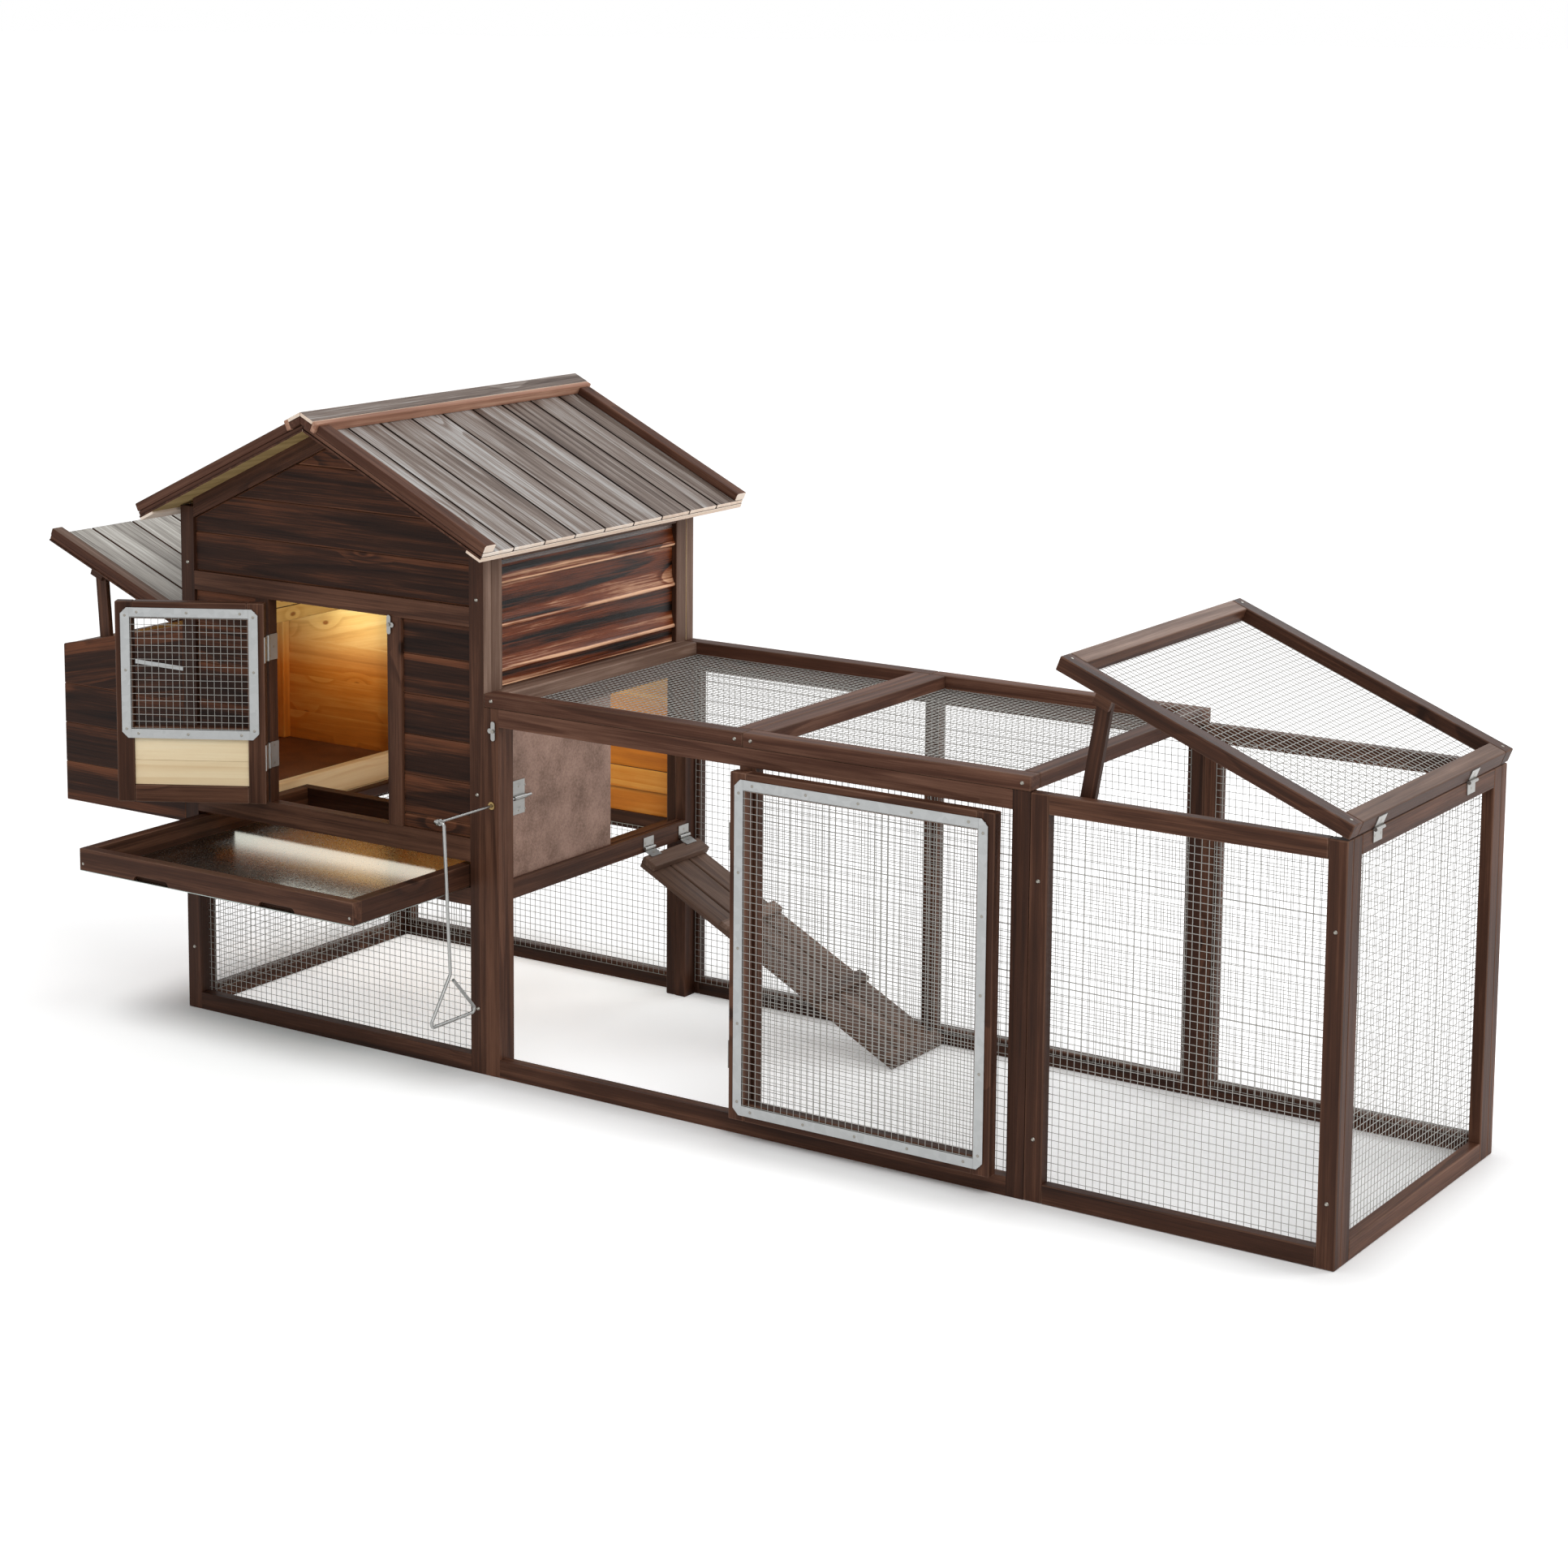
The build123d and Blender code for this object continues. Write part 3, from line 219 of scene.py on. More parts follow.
def wood(name, dark, mid, light, rough=0.5, rings=7.0, ring_share=0.3, streak_share=0.7, fibre_share=0.6,
         patch_share=0.7, rim=EVEN_RIM, knots=0.8, knot_rate=(4.0, 9.0, 0.0), knot_share=0.3, gloss=0.2,
         coat=0.0, relief=0.3, upper=None):
    """Timber with growth rings that run round its knots, streaks, fibres, patches and a tone for each piece.

    rim holds the stops of a tone across the board, from its lower edge to its upper one, even at 0.5.
    knot_rate gives the places for a knot in a metre along and across, and knot_share how many hold one.
    upper holds the three colours that take over higher up in the house, a painted light on the upper walls.
    """
    material, tree, shader = new_material(name)
    cell = add(tree, "TexVoronoi", {"Vector": stretched(tree, knot_rate), "Scale": 1.0},
               voronoi_dimensions="2D").outputs
    draw = add(tree, "RGBToBW", {"Color": cell["Color"]}).outputs["Val"]
    empty = ramp(tree, draw, ((knot_share, 0.0), (knot_share + KNOT_STEP, 1.0)))
    knot = sums(tree, "ADD", cell["Distance"], empty)
    bend = sums(tree, "MULTIPLY", ramp(tree, knot, ((0.0, 1.0), (KNOT_REACH, 0.0))), KNOT_BEND)
    height = sums(tree, "MULTIPLY_ADD", noise(tree, RING_SCALE, detail=1.0), rings, bend)
    ring = ramp(tree, sums(tree, "FRACT", height), RING_STOPS)
    streaks = noise(tree, STREAK_SCALE, detail=4.0, roughness=0.6)
    fibres = noise(tree, FIBRE_SCALE, detail=4.0, roughness=0.6)
    patches = noise(tree, PATCH_SCALE, detail=8.0, roughness=0.66)
    patterns = ((ring, ring_share), (streaks, streak_share), (fibres, fibre_share), (patches, patch_share))
    edge = add(tree, "Attribute", attribute_name="rim").outputs["Fac"]
    edges = ramp(tree, sums(tree, "MULTIPLY_ADD", edge, 0.5, 0.5), rim)
    tone = add(tree, "Attribute", attribute_name="tone").outputs["Fac"]
    value = sums(tree, "ADD", tone, -0.5 * sum(share for pattern, share in patterns))
    for pattern, share in patterns:
        value = sums(tree, "MULTIPLY_ADD", pattern, share, value)
    value = sums(tree, "ADD", value, edges)
    colour = shades(tree, value, (dark, mid, light))
    # Painted light: paler colours take over higher up in the house
    if upper:
        place = add(tree, "NewGeometry").outputs["Position"]
        level = add(tree, "SeparateXYZ", {"Vector": place}).outputs["Z"]
        share = add(tree, "MapRange", {"Value": level, "From Min": PAINTED_LIGHT_FROM, "From Max": PAINTED_LIGHT_TO})
        colour = mix(tree, share.outputs["Result"], colour, shades(tree, value, upper))
    core = ramp(tree, knot, ((KNOT_CORE, knots), (KNOT_EDGE, 0.0)))
    tree.links.new(mix(tree, core, colour, dark), shader.inputs["Base Color"])
    shader.inputs["Roughness"].default_value = rough
    shader.inputs["Specular IOR Level"].default_value = gloss
    shader.inputs["Coat Weight"].default_value = coat
    shader.inputs["Coat Roughness"].default_value = COAT_ROUGHNESS
    surface = sums(tree, "MULTIPLY_ADD", ring, RING_RELIEF, sums(tree, "ADD", streaks, fibres))
    bump = add(tree, "Bump", {"Height": surface, "Strength": relief, "Distance": RELIEF_DEPTH})
    for socket in ("Normal", "Coat Normal"):
        tree.links.new(bump.outputs["Normal"], shader.inputs[socket])
    return material


def metal(name, colour, rough, spangle=0.0, metallic=1.0, crystal=90.0):
    """Zinc-coated steel, with crystal spangle on sheets."""
    material, tree, shader = new_material(name)
    shader.inputs["Metallic"].default_value = metallic
    if not spangle:
        shader.inputs["Base Color"].default_value = colour
        shader.inputs["Roughness"].default_value = rough
        return material
    place = add(tree, "NewGeometry").outputs["Position"]
    crystals = add(tree, "TexVoronoi", {"Vector": place, "Scale": crystal}).outputs["Color"]
    grey = add(tree, "RGBToBW", {"Color": crystals}).outputs["Val"]
    shade = ramp(tree, grey, ((0.0, 1 - spangle), (1.0, 1.0)))
    tree.links.new(mix(tree, 1.0, colour, shade, "MULTIPLY"), shader.inputs["Base Color"])
    tree.links.new(sums(tree, "MULTIPLY_ADD", grey, spangle * SPANGLE_ROUGHNESS, rough),
                   shader.inputs["Roughness"])
    return material


def board(name, first, second, rough):
    """Mottled pressed hardboard."""
    material, tree, shader = new_material(name)
    place = add(tree, "NewGeometry").outputs["Position"]
    fine = add(tree, "TexNoise", {"Vector": place, "Scale": FINE_MOTTLE, "Detail": 6.0, "Roughness": 0.7})
    broad = add(tree, "TexNoise", {"Vector": place, "Scale": BROAD_MOTTLE, "Detail": 5.0, "Roughness": 0.6})
    both = sums(tree, "MULTIPLY", broad.outputs["Fac"], BROAD_SHARE)
    both = sums(tree, "MULTIPLY_ADD", fine.outputs["Fac"], FINE_SHARE, both)
    colour = ramp(tree, both, ((MOTTLE_LOW, first), (MOTTLE_HIGH, second)))
    tree.links.new(colour, shader.inputs["Base Color"])
    shader.inputs["Roughness"].default_value = rough
    shader.inputs["Specular IOR Level"].default_value = BOARD_GLOSS
    return material


stained = wood("stained timber", linear(29, 16, 11), linear(67, 41, 29), linear(116, 79, 60), rough=0.48,
               gloss=0.13)
# Painted light and sheen: a lighter stain for faces that look up or to the right, and for the rail beside the
# log wall
painted_light_stain = wood("stain with painted light and sheen", linear(58, 40, 31), linear(103, 79, 66), linear(156, 130, 115),
                 knot_share=0.0, gloss=0.13)
# Eased edges in a lighter stain: partly wear, partly a painted highlight along them
stained_edge_wear_and_highlight = wood("stained timber edge, worn and painted highlight", linear(55, 36, 28), linear(90, 63, 49), linear(130, 97, 81),
                    gloss=0.12)
# Its rim stops lighten each board's upper edge, a painted highlight
burnt = wood("burnt boards", linear(22, 12, 9), linear(52, 31, 22), linear(110, 66, 44), rough=0.45,
             ring_share=0.4, streak_share=0.6, fibre_share=0.9, patch_share=0.6,
             rim=((0.0, 0.55), (0.16, 0.5), (0.72, 0.5), (1.0, 0.95)), gloss=0.1, relief=0.4)
# Eased edges in a lighter reddish tone: partly the boards' own edge colour, partly a painted highlight along
# them
burnt_edge_tint_and_highlight = wood("burnt board edge, tint and painted highlight", linear(43, 27, 20), linear(96, 60, 42), linear(151, 101, 72), gloss=0.1)
# Its rim stops paint a highlight on the bead along each log's lower edge and light on the band just above it;
# the dark band across the middle is burn
log_wood = wood("log boards", linear(15, 6, 3), linear(113, 53, 23), linear(234, 184, 146), rough=0.3,
                ring_share=0.5, streak_share=0.8, fibre_share=0.9, patch_share=1.1,
                rim=((0.0, 0.4), (0.04, 0.85), (0.09, 1.0), (0.12, 0.45), (0.3, 0.6), (0.55, 0.15),
                     (0.8, 0.35), (1.0, 0.5)), gloss=0.1, coat=0.22, relief=0.9)
# The log wall's charred top, painted darker as the eave's shade as well
log_char_and_eave_shade = wood("charred log with painted eave shade", linear(5, 3, 3), linear(27, 17, 15), linear(130, 104, 94), rough=0.25,
                streak_share=1.3, patch_share=1.2, gloss=0.2, coat=0.8, relief=1.4)
roofing = wood("roof timber", linear(62, 44, 35), linear(122, 108, 99), linear(184, 182, 180), ring_share=0.5,
               streak_share=0.9, fibre_share=1.4, patch_share=0.6,
               rim=((0.0, 0.42), (0.2, 0.54), (0.8, 0.54), (1.0, 0.42)), knots=0.5, gloss=0.3, relief=0.6)
gap_shade = wood("roof gap shade", linear(17, 11, 8), linear(29, 20, 15), linear(46, 31, 24), gloss=0.05)
lid_wood = wood("nest lid timber", linear(113, 106, 99), linear(187, 182, 174), linear(250, 250, 245),
                streak_share=0.9, fibre_share=1.2, patch_share=0.6, knots=0.4, gloss=0.3, relief=0.5)
barge = wood("barge timber", linear(42, 26, 20), linear(79, 50, 38), linear(124, 89, 72), gloss=0.1)
ridge_wood = wood("ridge strip", linear(103, 67, 52), linear(154, 111, 90), linear(206, 166, 142))
ramp_wood = wood("ramp timber", linear(58, 41, 34), linear(99, 76, 63), linear(149, 122, 107), gloss=0.15)
pale_pine = wood("pale pine", linear(225, 192, 144), linear(250, 229, 190), linear(250, 250, 235),
                 ring_share=0.25, streak_share=0.4, fibre_share=0.2, patch_share=0.4, knots=0.35)
# Raw pine inside the house; its deep orange partly paints the warm light bouncing inside, its upper colours
# paint the light on the upper walls, and its rim stops lighten each board's upper edge as a painted highlight
pine = wood("golden pine", linear(134, 66, 18), linear(206, 122, 42), linear(244, 184, 96), ring_share=0.22,
            streak_share=0.4, fibre_share=0.2, patch_share=0.8, rim=((0.0, 0.5), (0.72, 0.5), (1.0, 0.65)),
            knot_rate=(6.0, 11.0, 0.0), knot_share=0.45,
            upper=(linear(178, 122, 60), linear(230, 198, 128), linear(250, 234, 178)))
cream = wood("sawn pine", linear(214, 184, 160), linear(242, 222, 204), linear(250, 243, 234), ring_share=0.2,
             streak_share=0.4, fibre_share=0.3, patch_share=0.4, knots=0.2)
olive_pine = wood("shaded pine", linear(136, 112, 70), linear(183, 157, 108), linear(220, 196, 146),
                  gloss=0.05)
# The nest floor's hardboard, painted darker as the shade it lies in
shaded_floor_board = board("nest floor board, painted shade", linear(78, 44, 24), linear(124, 76, 46), 0.5)
hardboard = board("hardboard", linear(108, 80, 65), linear(172, 139, 123), 0.5)
wire_metal = metal("welded wire", linear(169, 167, 162), 0.45, metallic=0.3)
strip_metal = metal("galvanised strip", linear(186, 188, 188), 0.42, spangle=0.16, metallic=0.75)
sheet_metal = metal("galvanised tray", linear(184, 192, 188), 0.17, spangle=0.2, crystal=380.0)
zinc = metal("zinc hardware", linear(160, 159, 156), 0.36)
rod_steel = metal("bright rod", linear(163, 163, 161), 0.3)
brass = metal("brass eyelet", linear(178, 150, 100), 0.35)
screw_zinc = metal("screw heads", linear(150, 146, 138), 0.38)


# Rebuilding the timbers from their solids
def islands(bm):
    """The connected pieces of a mesh, as lists of vertices."""
    seen = set()
    for start in bm.verts:
        if start in seen:
            continue
        seen.add(start)
        piece, front = [], [start]
        while front:
            vert = front.pop()
            piece.append(vert)
            for edge in vert.link_edges:
                other = edge.other_vert(vert)
                if other not in seen:
                    seen.add(other)
                    front.append(other)
        yield piece


class Piece:
    """One solid: its centre, its axes along, across and through the grain, and its reach on each.

    Faces and edges keep the mesh's order, so that a choice between equal ones is the same in each run.
    """

    def __init__(self, verts):
        self.verts = verts
        self.faces = list(dict.fromkeys(face for vert in verts for face in vert.link_faces))
        edges = dict.fromkeys(edge for vert in verts for edge in vert.link_edges
                              if edge.calc_face_angle(0) > SHARP_ANGLE)
        longest = max(edges, key=lambda edge: edge.calc_length())
        self.along = (longest.verts[1].co - longest.verts[0].co).normalized()
        areas = {}
        for face in self.faces:
            if abs(face.normal.dot(self.along)) < SQUARE:
                key = face.normal.to_tuple(2)
                areas[key] = areas.get(key, 0) + face.calc_area()
        broadest = Vector(max(areas, key=lambda key: (areas[key], key)))
        self.through = (broadest - self.along * broadest.dot(self.along)).normalized()
        self.across = self.through.cross(self.along)
        self.axes = (self.along, self.across, self.through)
        self.reach = [(min(vert.co.dot(axis) for vert in verts), max(vert.co.dot(axis) for vert in verts))
                      for axis in self.axes]
        self.size = [high - low for low, high in self.reach]
        self.centre = sum((axis * (low + high) / 2 for axis, (low, high) in zip(self.axes, self.reach)),
                          Vector())

    def point(self, *shares):
        """A point inside the piece's box, from -1 to 1 along each axis."""
        return self.centre + sum((axis * size / 2 * share for axis, size, share in
                                  zip(self.axes, self.size, shares)), Vector())


def solid_mesh(node):
    """A CAD node's mesh with the corners of its facets joined."""
    bm = bmesh.new()
    bm.from_mesh(nodes[node].data)
    bmesh.ops.remove_doubles(bm, verts=bm.verts, dist=WELD_TOLERANCE)
    bmesh.ops.dissolve_limit(bm, angle_limit=FLAT_ANGLE, verts=bm.verts, edges=bm.edges)
    bm.normal_update()
    return bm


def show(mesh, materials, body, *replaced):
    """Shows a mesh as a piece that moves with a body and stands for CAD nodes."""
    for material in materials:
        mesh.materials.append(material)
    piece = bpy.data.objects.new(mesh.name, mesh)
    bpy.context.scene.collection.objects.link(piece)
    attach(piece, body)
    if replaced:
        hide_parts(*replaced)
    return piece


def timber(node, *materials, pick=None, edge=None, spread=TONE_SPREAD, bevel=TIMBER_BEVEL, cut=None,
           square=None, grow=0.0):
    """Rebuilds a node's timbers with eased edges, grain along each piece and a tone for each piece.

    pick gives the number of a face's material, from the face and its piece, and the eased edges of the first
    material take the edge material. Faces of the square material keep square edges. The solids are first
    parted at the height of the cut, and grown across the grain to close their joints.
    """
    bm = solid_mesh(node)
    if cut:
        bmesh.ops.bisect_plane(bm, geom=bm.verts[:] + bm.edges[:] + bm.faces[:], plane_co=(0, 0, cut),
                               plane_no=(0, 0, 1))
    plain = set()
    for verts in list(islands(bm)):
        piece = Piece(verts)
        for vert in verts:
            vert.co += piece.across * math.copysign(grow, (vert.co - piece.centre).dot(piece.across))
        if square is not None:
            plain.update(side for face in piece.faces if pick(face, piece) == square for side in face.edges)
    sharp = [side for side in bm.edges if side.calc_face_angle(0) > SHARP_ANGLE and side not in plain]
    made = bmesh.ops.bevel(bm, geom=sharp, offset=bevel, segments=2, profile=0.5, affect="EDGES",
                           clamp_overlap=True)
    eased = set(made["faces"])
    grain = bm.verts.layers.float_vector.new("grain")
    tone = bm.verts.layers.float.new("tone")
    rim = bm.verts.layers.float.new("rim")
    bm.normal_update()
    for verts in islands(bm):
        piece = Piece(verts)
        shift = Vector([chance.uniform(0, GRAIN_SHIFT) for axis in piece.axes])
        shade = chance.uniform(-spread, spread)
        upward = math.copysign(2 / piece.size[1], piece.across.z)
        for vert in verts:
            offset = vert.co - piece.centre
            vert[grain] = Vector([offset.dot(axis) for axis in piece.axes]) + shift
            vert[tone] = shade
            vert[rim] = offset.dot(piece.across) * upward
        for face in piece.faces:
            face.material_index = pick(face, piece) if pick else 0
            if edge and face in eased and face.material_index == 0:
                face.material_index = len(materials)
    mesh = bpy.data.meshes.new(node + "_timber")
    bm.to_mesh(mesh)
    bm.free()
    return show(mesh, list(materials) + ([edge] if edge else []), body_of[node], node)


def inside(middle):
    """Picks the second material for upright faces that look towards a middle."""
    def pick(face, piece):
        level = abs(face.normal.z) < SQUARE and abs(face.normal.dot(piece.along)) < SQUARE
        return int(level and face.normal.dot(middle - face.calc_center_median()) > 0)
    return pick


def log_face(face, piece):
    """The log wall is raw inside the house, and along its top charred and painted with the eave's shade."""
    inner = inside(HOUSE_MIDDLE)(face, piece)
    return inner or (2 if face.calc_center_median().z > CHAR_SHADE_LINE else 0)


def inner_frame(direction):
    """Picks the second material for frame faces that look in a direction above the house floor.

    The outer faces of the right-hand corner posts take the third one, a stain painted lighter for the light
    falling on that side.
    """
    wanted = Vector(direction)

    def pick(face, piece):
        place = face.calc_center_median()
        if face.normal.x > ALIGNED and place.x > POST_LINE and place.z > HOUSE_FLOOR:
            return 2
        return int(face.normal.dot(wanted) > ALIGNED and place.z > HOUSE_FLOOR)
    return pick


def wall_rail(face, piece):
    """The run roof's rail beside the log wall takes a lighter stain, a painted sheen."""
    return int(abs(piece.along.y) > ALIGNED and piece.centre.x < WALL_RAIL)


def top_rail(face, piece):
    """The run's top rail is a little lighter than its posts."""
    return int(abs(piece.along.x) > ALIGNED and piece.centre.z > HOUSE_FLOOR)


def lid_rail(face, piece):
    """The tops of the run lid's short rails take a lighter stain, a painted sheen."""
    return int(abs(piece.along.y) > ALIGNED and face.normal.z > UPWARD)


def nest_sill(face, piece):
    """The left frame is golden inside the house, and the nest box's sill beam is pale on top and inside,
    painted paler there as lit.
    """
    place = face.calc_center_median()
    beam = abs(place.z - HOUSE_FLOOR) < SILL_TOLERANCE or HOUSE_FLOOR - SILL_DEPTH < place.z < HOUSE_FLOOR
    if beam and max(face.normal.x, face.normal.z) > ALIGNED:
        return 2
    return int(face.normal.x > ALIGNED and place.z > HOUSE_FLOOR - SILL_DEPTH)


def underlay_face(face, piece):
    """The roof's sheet is dark above, stained at its gables and shaded pine below; eave strips are raw."""
    if piece.size[2] > THICKEST_UNDERLAY or abs(face.normal.x) > FACING:
        return 0
    if abs(face.normal.y) > LEANING:
        return 1
    return 2 if face.normal.z > LEANING else 3


def gable_end(face, piece):
    """The roof boards' ends are raw at the eaves, and the outer sides of the outer boards match the barges.

    The eased edges of the raw ends take the fourth material, and so not the edge material.
    """
    downward = face.normal.dot(piece.along) * -math.copysign(1, piece.along.z)
    if downward > TILTED:
        return 2 if downward > FACING else 3
    outer = face.normal.y * math.copysign(1, piece.centre.y - HOUSE_MIDDLE.y) > LEANING
    return int(outer and abs(piece.centre.y - HOUSE_MIDDLE.y) > ROOF_END)


def ridge_face(face, piece):
    """The strips beside the ridge beam are lighter, and the sawn ends of the battens are raw."""
    if piece.size[0] > LONGEST_BATTEN:
        return int(abs(piece.centre.x - HOUSE_MIDDLE.x) > RIDGE_BEAM_HALF)
    return 2 if abs(face.normal.dot(piece.along)) > ALIGNED else 0


def cap_face(face, piece):
    """The ridge cap's sawn ends and narrow edges are raw."""
    return int(max(abs(face.normal.dot(piece.along)), abs(face.normal.dot(piece.across))) > ALIGNED)


def lid_face(face, piece):
    """The nest lid's sheet is stained, and its battens and the sides of its boards match the barges.

    The tops of its battens take a lighter stain, a painted sheen.
    """
    if piece.size[2] < THICKEST_LID_SHEET:
        return 1
    if piece.size[2] > THICKEST_LID_BOARD:
        return 3 if face.normal.z > FACING else 2
    return 2 if abs(face.normal.y) > ALIGNED else 0


for node in ("run_back_frame", "end_front_frame", "end_back_frame", "end_frame", "partition_frame",
             "run_door_frame", "house_door_frame", "tray_frame"):
    timber(node, stained, edge=stained_edge_wear_and_highlight)
timber("run_lid_frame", stained, painted_light_stain, pick=lid_rail, edge=stained_edge_wear_and_highlight)
for node in ("run_lid_prop", "run_lid_prop_block", "nest_lid_prop", "nest_lid_prop_block"):
    timber(node, stained, edge=stained_edge_wear_and_highlight)
timber("run_front_frame", stained, barge, pick=top_rail, edge=stained_edge_wear_and_highlight)
timber("run_roof_frames", barge, painted_light_stain, pick=wall_rail, edge=stained_edge_wear_and_highlight)
for node, inward in (("house_front_frame", (0, 1, 0)), ("house_back_frame", (0, -1, 0))):
    timber(node, stained, pine, painted_light_stain, pick=inner_frame(inward), edge=stained_edge_wear_and_highlight, cut=HOUSE_FLOOR)
timber("house_left_frame", stained, pine, pale_pine, pick=nest_sill, edge=stained_edge_wear_and_highlight,
       cut=HOUSE_FLOOR - SILL_DEPTH)
timber("house_right_frame", stained, pine, painted_light_stain, pick=inner_frame((-1, 0, 0)), edge=stained_edge_wear_and_highlight,
       cut=HOUSE_FLOOR)
for node in ("house_front_boards", "house_back_boards", "house_side_boards"):
    timber(node, burnt, pine, pick=inside(HOUSE_MIDDLE), edge=burnt_edge_tint_and_highlight, bevel=BOARD_BEVEL, square=1,
           grow=BOARD_GROWTH)
timber("house_right_boards", log_wood, pine, log_char_and_eave_shade, pick=log_face, bevel=FINE_BEVEL, square=1)
timber("nest_box_walls", burnt, pine, pick=inside(NEST_MIDDLE), edge=burnt_edge_tint_and_highlight, bevel=BOARD_BEVEL, square=1,
       grow=BOARD_GROWTH)
timber("nest_box_frame", pine)
timber("roof_underlay", cream, barge, gap_shade, olive_pine, pick=underlay_face, bevel=SHEET_BEVEL)
timber("roof_boards", roofing, barge, cream, roofing, pick=gable_end, edge=gap_shade, spread=ROOF_SPREAD,
       bevel=ROOF_BOARD_BEVEL)
timber("roof_battens", barge, ridge_wood, cream, pick=ridge_face)
timber("ridge_cap", roofing, cream, pick=cap_face, bevel=FINE_BEVEL)
timber("nest_lid_boards", lid_wood, stained, barge, painted_light_stain, pick=lid_face, edge=gap_shade,
       bevel=LID_BOARD_BEVEL)
timber("house_door_panel", pale_pine, bevel=PANEL_BEVEL, grow=PANEL_GROWTH)
timber("tray_runners", stained)
for node in ("ramp_boards", "ramp_cleats"):
    timber(node, ramp_wood)


# Welded mesh in place of the coarse nets
class Wires:
    """Straight round wires and screw heads, gathered into one mesh."""

    def __init__(self):
        self.points, self.faces = [], []

    def add(self, start, end, radius, sides):
        """One wire without end caps."""
        axis = (end - start).normalized()
        side = axis.orthogonal().normalized()
        other = axis.cross(side)
        base = len(self.points)
        for index in range(sides):
            turn = 2 * math.pi * index / sides
            offset = radius * (side * math.cos(turn) + other * math.sin(turn))
            self.points += [start + offset, end + offset]
            near, after = base + 2 * index, base + 2 * ((index + 1) % sides)
            self.faces.append((near, after, after + 1, near + 1))

    def head(self, place, out, radius, rise, sides=SCREW_SIDES):
        """A domed screw head on a face."""
        side = out.orthogonal().normalized()
        other = out.cross(side)
        base = len(self.points)
        for share, lift in HEAD_RINGS:
            for index in range(sides):
                turn = 2 * math.pi * index / sides
                self.points.append(place + out * rise * lift
                                   + radius * share * (side * math.cos(turn) + other * math.sin(turn)))
        for level in range(len(HEAD_RINGS) - 1):
            for index in range(sides):
                after = (index + 1) % sides
                low, high = base + level * sides, base + (level + 1) * sides
                self.faces.append((low + index, low + after, high + after, high + index))
        top = base + (len(HEAD_RINGS) - 1) * sides
        self.faces.append(tuple(range(top, top + sides)))

    def mesh(self, name, smooth=True):
        """The gathered shapes as one mesh."""
        mesh = bpy.data.meshes.new(name)
        mesh.from_pydata(self.points, [], self.faces)
        if smooth:
            mesh.shade_smooth()
        return mesh


def welded_mesh(node):
    """Crossed round wires at the real pitch over each of a node's nets."""
    solid = solid_mesh(node)
    wires = Wires()
    for verts in islands(solid):
        piece = Piece(verts)
        middle = sum(piece.reach[2]) / 2
        for first, second, level in ((0, 1, middle - WIRE_RADIUS), (1, 0, middle + WIRE_RADIUS)):
            length, width = piece.reach[first], piece.reach[second]
            count = round((width[1] - width[0]) / MESH_PITCH)
            for index in range(count + 1):
                place = width[0] + WIRE_RADIUS + (width[1] - width[0] - 2 * WIRE_RADIUS) * index / count
                base = piece.axes[second] * place + piece.through * level
                start, end = (base + piece.axes[first] * reach for reach in length)
                wires.add(start, end, WIRE_RADIUS, WIRE_SIDES)
    solid.free()
    return show(wires.mesh(node + "_wires"), [wire_metal], body_of[node], node)


for node in ("house_mesh", "run_mesh", "end_mesh", "run_lid_mesh", "run_door_mesh", "house_door_mesh"):
    welded_mesh(node)


# Pieces that keep their solids
def paint(node, material):
    """Gives a CAD node one material."""
    nodes[node].data.materials.clear()
    nodes[node].data.materials.append(material)


for node, material in (("nest_box_floor", shaded_floor_board), ("pop_door_panel", hardboard),
                       ("tray_sheet", sheet_metal), ("house_door_strips", strip_metal),
                       ("run_door_strips", strip_metal), ("nest_joint_strip", strip_metal),
                       ("latch_screws", screw_zinc), ("frame_screws", screw_zinc),
                       ("pop_door_rod", rod_steel), ("pull_handle", rod_steel), ("rod_grommet", brass)):
    paint(node, material)
for node in (*HINGE_NODES, "pop_door_bracket", "house_door_latch", "run_door_latch"):
    paint(node, zinc)


# Screw heads on strips, plates and frames
def pieces_of(node):
    """The solids of a node, measured; the mesh they belong to comes with them."""
    solid = solid_mesh(node)
    return solid, [Piece(verts) for verts in islands(solid)]


def strip_screws(node, away_from, stations):
    """Screw heads along each strip of a node, on the side away from its frame."""
    frame_solid, frame_pieces = pieces_of(away_from)
    middle = sum((piece.centre for piece in frame_pieces), Vector()) / len(frame_pieces)
    frame_solid.free()
    solid, strips = pieces_of(node)
    heads = Wires()
    for strip in strips:
        side = 1 if strip.through.dot(strip.centre - middle) > 0 else -1
        for station in stations:
            heads.head(strip.point(station, 0, side), strip.through * side, SCREW_RADIUS, STRIP_SCREW_RISE)
    solid.free()
    show(heads.mesh(node + "_screws", smooth=False), [screw_zinc], body_of[node])


strip_screws("house_door_strips", "house_door_frame", HOUSE_STRIP_SCREWS)
strip_screws("run_door_strips", "run_door_frame", RUN_STRIP_SCREWS)


